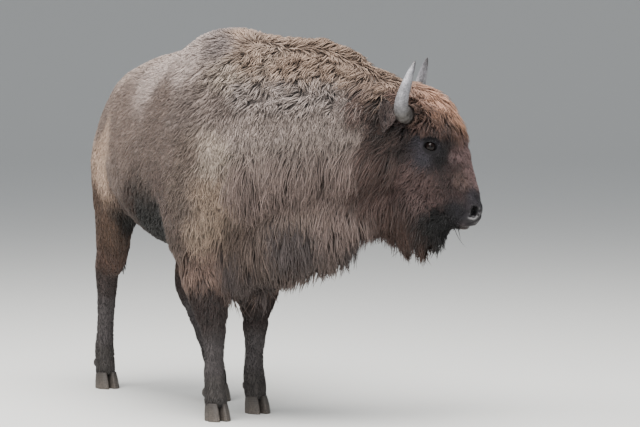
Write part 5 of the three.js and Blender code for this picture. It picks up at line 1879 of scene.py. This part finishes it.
def hide_tint(places, fields, normals):
    """The hide's colour at each vertex, with painted shade under a deep coat, in the nostrils and along the
    mouth, and a painted highlight on the nostrils' wet rims.
    """
    # painted shade: the skin darker where the coat over it is deep
    tint = fields[:, TONE] * (1 - SHADE_UNDER_COAT * smooth_step(*DEEP_COAT, fields[:, DEPTH]))[:, None]
    head = in_head(places)
    # painted highlight on the nostrils' wet rims, in patches and strongest at the front
    wet = np.zeros(len(places))
    snout = np.flatnonzero(head[:, 0] > 0.46)
    wet[snout] = smooth_step(-0.15, 0.30, rough_noise(places[snout], *HIGHLIGHT_PATCHES))
    front = smooth_step(-0.012, 0.012, head[:, 0] - NOSTRIL[0])
    for side in SIDES.values():
        ring, close, out = nostril_ring(places, side)
        rim = swell(ring, *PAINTED_RIM) * (close & (normals @ out > -0.3)) * ((0.10 + 0.75 * front) * wet)
        tint = tint + (linear(RIM_HIGHLIGHT_TONE) - tint) * rim[:, None]
        # painted shade inside each nostril's hollow
        tint = tint * (1 - 0.95 * (1 - smooth_step(0.80, 1.02, ring)) * close)[:, None]
    gap, _above = mouth_gap(head)
    # painted shade along the mouth's line
    line = swell(gap, 0, MOUTH_LINE_SHADE) * smooth_step(*MOUTH_CORNER, head[:, 0])
    tint = tint * (1 - 0.75 * line)[:, None]
    for name in SIDES:
        lid = 1 - smooth_step(*PAINTED_LIDS, np.linalg.norm(places - EYES[name], axis=1))
        tint = tint + (linear(LID_TONE) - tint) * lid[:, None]
    return tint


class WISENT_OT_hide(bpy.types.Operator):
    """Make the hide, with its eyelids, nostrils and mouth"""

    bl_idname = "wisent.hide"
    bl_label = "Hide"

    def execute(self, context):
        places, triangles, outline_tree = make_hide()
        fields, strongest = fields_at(places)
        surface = Surface(places, triangles, fields, strongest)
        hide = new_mesh_object("hide", places, triangles.ravel(), np.full(len(triangles), 3))
        paint(hide, "Tint", hide_tint(places, fields, surface.normals))
        layer = hide.data.attributes.new("Bare", "FLOAT", "POINT")
        layer.data.foreach_set("value", smooth_step(*BARE_SKIN, fields[:, BARE]).astype(np.float32))
        finish_piece(hide, hide_material(), "flank_hide", *FLESH)
        BUILT.update(surface=surface, outline_tree=outline_tree)
        print("hide", len(places), len(triangles))
        return {"FINISHED"}


EYE_CLEAR = (0.010, 0.012)  # kept free of hair round the opening, along and above it
EYE_CLEAR_REACH = 0.05
HAIRLESS = 0.62  # where BARE is more than this
CHIN_FRONT = (0.53, 0.585)  # hair gets shorter between these places along the face
CHIN_CUT = 0.85
COAT_SEED, EAR_SEED, COLLAR_SEED = 100, 300, 500


def clear_of_face(places):
    """Whether each place is clear of the eyes and the ears."""
    clear = np.ones(len(places), bool)
    for name, side in SIDES.items():
        _look, slit, up = eye_axes(side)
        rel = places - EYES[name]
        along, above = rel @ slit / (EYE_SLIT[0] + EYE_CLEAR[0]), rel @ up / (EYE_SLIT[1] + EYE_CLEAR[1])
        clear &= (np.hypot(along, above) > 1) | (np.linalg.norm(rel, axis=1) > EYE_CLEAR_REACH)
        clear &= ear_gap(places, side) > EAR_ROOM
    return clear


class WISENT_OT_coat(bpy.types.Operator):
    """Grow the coat on the hide"""

    bl_idname = "wisent.coat"
    bl_label = "Coat"

    def execute(self, context):
        if "surface" not in BUILT:
            raise RuntimeError("make the hide first")
        roots = BUILT["surface"].roots(context.scene.wisent.seed)
        places, fields = roots[0], roots[3]
        cut = CHIN_CUT * smooth_step(*CHIN_FRONT, in_head(places)[:, 0])
        fields[:, LENGTH] *= np.where(fields[:, LENGTH] > 0.05, 1 - cut, 1)
        clear = clear_of_face(places) & (fields[:, BARE] < HAIRLESS)
        roots = tuple(a[clear] for a in roots)
        BUILT["coat"] = coat_material()
        coat_pieces(BUILT["surface"], roots, BUILT["outline_tree"], BUILT["coat"], COAT_SEED)
        return {"FINISHED"}


def hairy_pair(parts, kind, tone):
    """A surface for hair from a right and a left part, each with places, triangles and the hair's lie."""
    places = np.concatenate([p[0] for p in parts])
    triangles = np.concatenate([parts[0][1], parts[1][1] + len(parts[0][0])])
    fields, strongest = fields_at(places)
    fields[:, LIE] = np.concatenate([np.broadcast_to(p[2], p[0].shape) for p in parts])
    fields[:, DEPTH : TONE.start] = HAIR[kind]
    fields[:, TONE] = linear(tone)
    return Surface(places, triangles, fields, strongest)


class WISENT_OT_ears(bpy.types.Operator):
    """Make the ears and the hair on them"""

    bl_idname = "wisent.ears"
    bl_label = "Ears"

    def execute(self, context):
        ears = hairy_pair([make_ear_shell(side) for side in SIDES.values()], "ear", EAR_HAIR_TONE)
        count = len(ears.triangles)
        shells = new_mesh_object("ear_shells", ears.places, ears.triangles.ravel(), np.full(count, 3))
        paint(shells, "Tint", np.tile(linear(EAR_SKIN_TONE), (len(ears.places), 1)))
        skin = bpy.data.materials.get("hide") or hide_material()
        finish_piece(shells, skin, "head_hide", "right_ear", "left_ear")
        hair = BUILT.get("coat") or coat_material()
        coat_pieces(ears, ears.roots(context.scene.wisent.seed + 1), None, hair, EAR_SEED, only="ears")
        return {"FINISHED"}


class WISENT_OT_horns(bpy.types.Operator):
    """Make the horns"""

    bl_idname = "wisent.horns"
    bl_label = "Horns"

    def execute(self, context):
        material = horn_material()
        for name, side in SIDES.items():
            finish_piece(make_horn("horn_" + name, side), material, "horn", name + "_horn")
        return {"FINISHED"}


class WISENT_OT_collars(bpy.types.Operator):
    """Grow the hair round the foot of each horn"""

    bl_idname = "wisent.collars"
    bl_label = "Horn collars"

    def execute(self, context):
        feet = hairy_pair([make_collar(side) for side in SIDES.values()], "horn collar", TONES["collar"])
        hair = BUILT.get("coat") or coat_material()
        roots = feet.roots(context.scene.wisent.seed + 2)
        coat_pieces(feet, roots, None, hair, COLLAR_SEED, only="horn_collars")
        return {"FINISHED"}


class WISENT_OT_eyes(bpy.types.Operator):
    """Make the eyes"""

    bl_idname = "wisent.eyes"
    bl_label = "Eyes"

    def execute(self, context):
        material = eye_material()
        for name, side in SIDES.items():
            make_eye(name, side, material)
        return {"FINISHED"}


class WISENT_OT_hooves(bpy.types.Operator):
    """Make the claws and dewclaws of all four feet"""

    bl_idname = "wisent.hooves"
    bl_label = "Hooves"

    def execute(self, context):
        if "surface" not in BUILT:
            raise RuntimeError("make the hide first")
        material = hoof_material(context.scene.wisent)
        for leg in LEGS:
            for part in ("inner_claw", "outer_claw", "inner_dewclaw", "outer_dewclaw"):
                make_hoof(f"{leg}_{part}", material)
        return {"FINISHED"}


class WISENT_OT_stage(bpy.types.Operator):
    """Set up the floor, lights and camera"""

    bl_idname = "wisent.stage"
    bl_label = "Stage"

    def execute(self, context):
        settings = context.scene.wisent
        make_floor(settings.floor_tone)
        for name, power, place, size, colour in LIGHTS:
            make_light(name, place, size, getattr(settings, power), colour)
        make_sky(settings.sky)
        make_camera()
        return {"FINISHED"}


class WISENT_PT_panel(bpy.types.Panel):
    """The wisent's buttons and settings"""

    bl_label = "Wisent"
    bl_idname = "WISENT_PT_panel"
    bl_space_type = "VIEW_3D"
    bl_region_type = "UI"
    bl_category = "Wisent"

    def draw(self, context):
        for name in WisentSettings.__annotations__:
            self.layout.prop(context.scene.wisent, name)
        for operator in OPERATORS:
            self.layout.operator(operator.bl_idname)


OPERATORS = (
    WISENT_OT_hide,
    WISENT_OT_coat,
    WISENT_OT_ears,
    WISENT_OT_horns,
    WISENT_OT_collars,
    WISENT_OT_eyes,
    WISENT_OT_hooves,
    WISENT_OT_stage,
)
CLASSES = (WisentSettings, *OPERATORS, WISENT_PT_panel)


def register():
    """Adds the wisent's settings, operators and panel."""
    for cls in CLASSES:
        bpy.utils.register_class(cls)
    bpy.types.Scene.wisent = bpy.props.PointerProperty(type=WisentSettings)


def unregister():
    """Takes them away again."""
    del bpy.types.Scene.wisent
    for cls in reversed(CLASSES):
        bpy.utils.unregister_class(cls)


def main():
    """Builds everything."""
    register()
    for operator in OPERATORS:
        getattr(bpy.ops.wisent, operator.bl_idname.split(".")[1])()


if __name__ == "__main__":
    main()
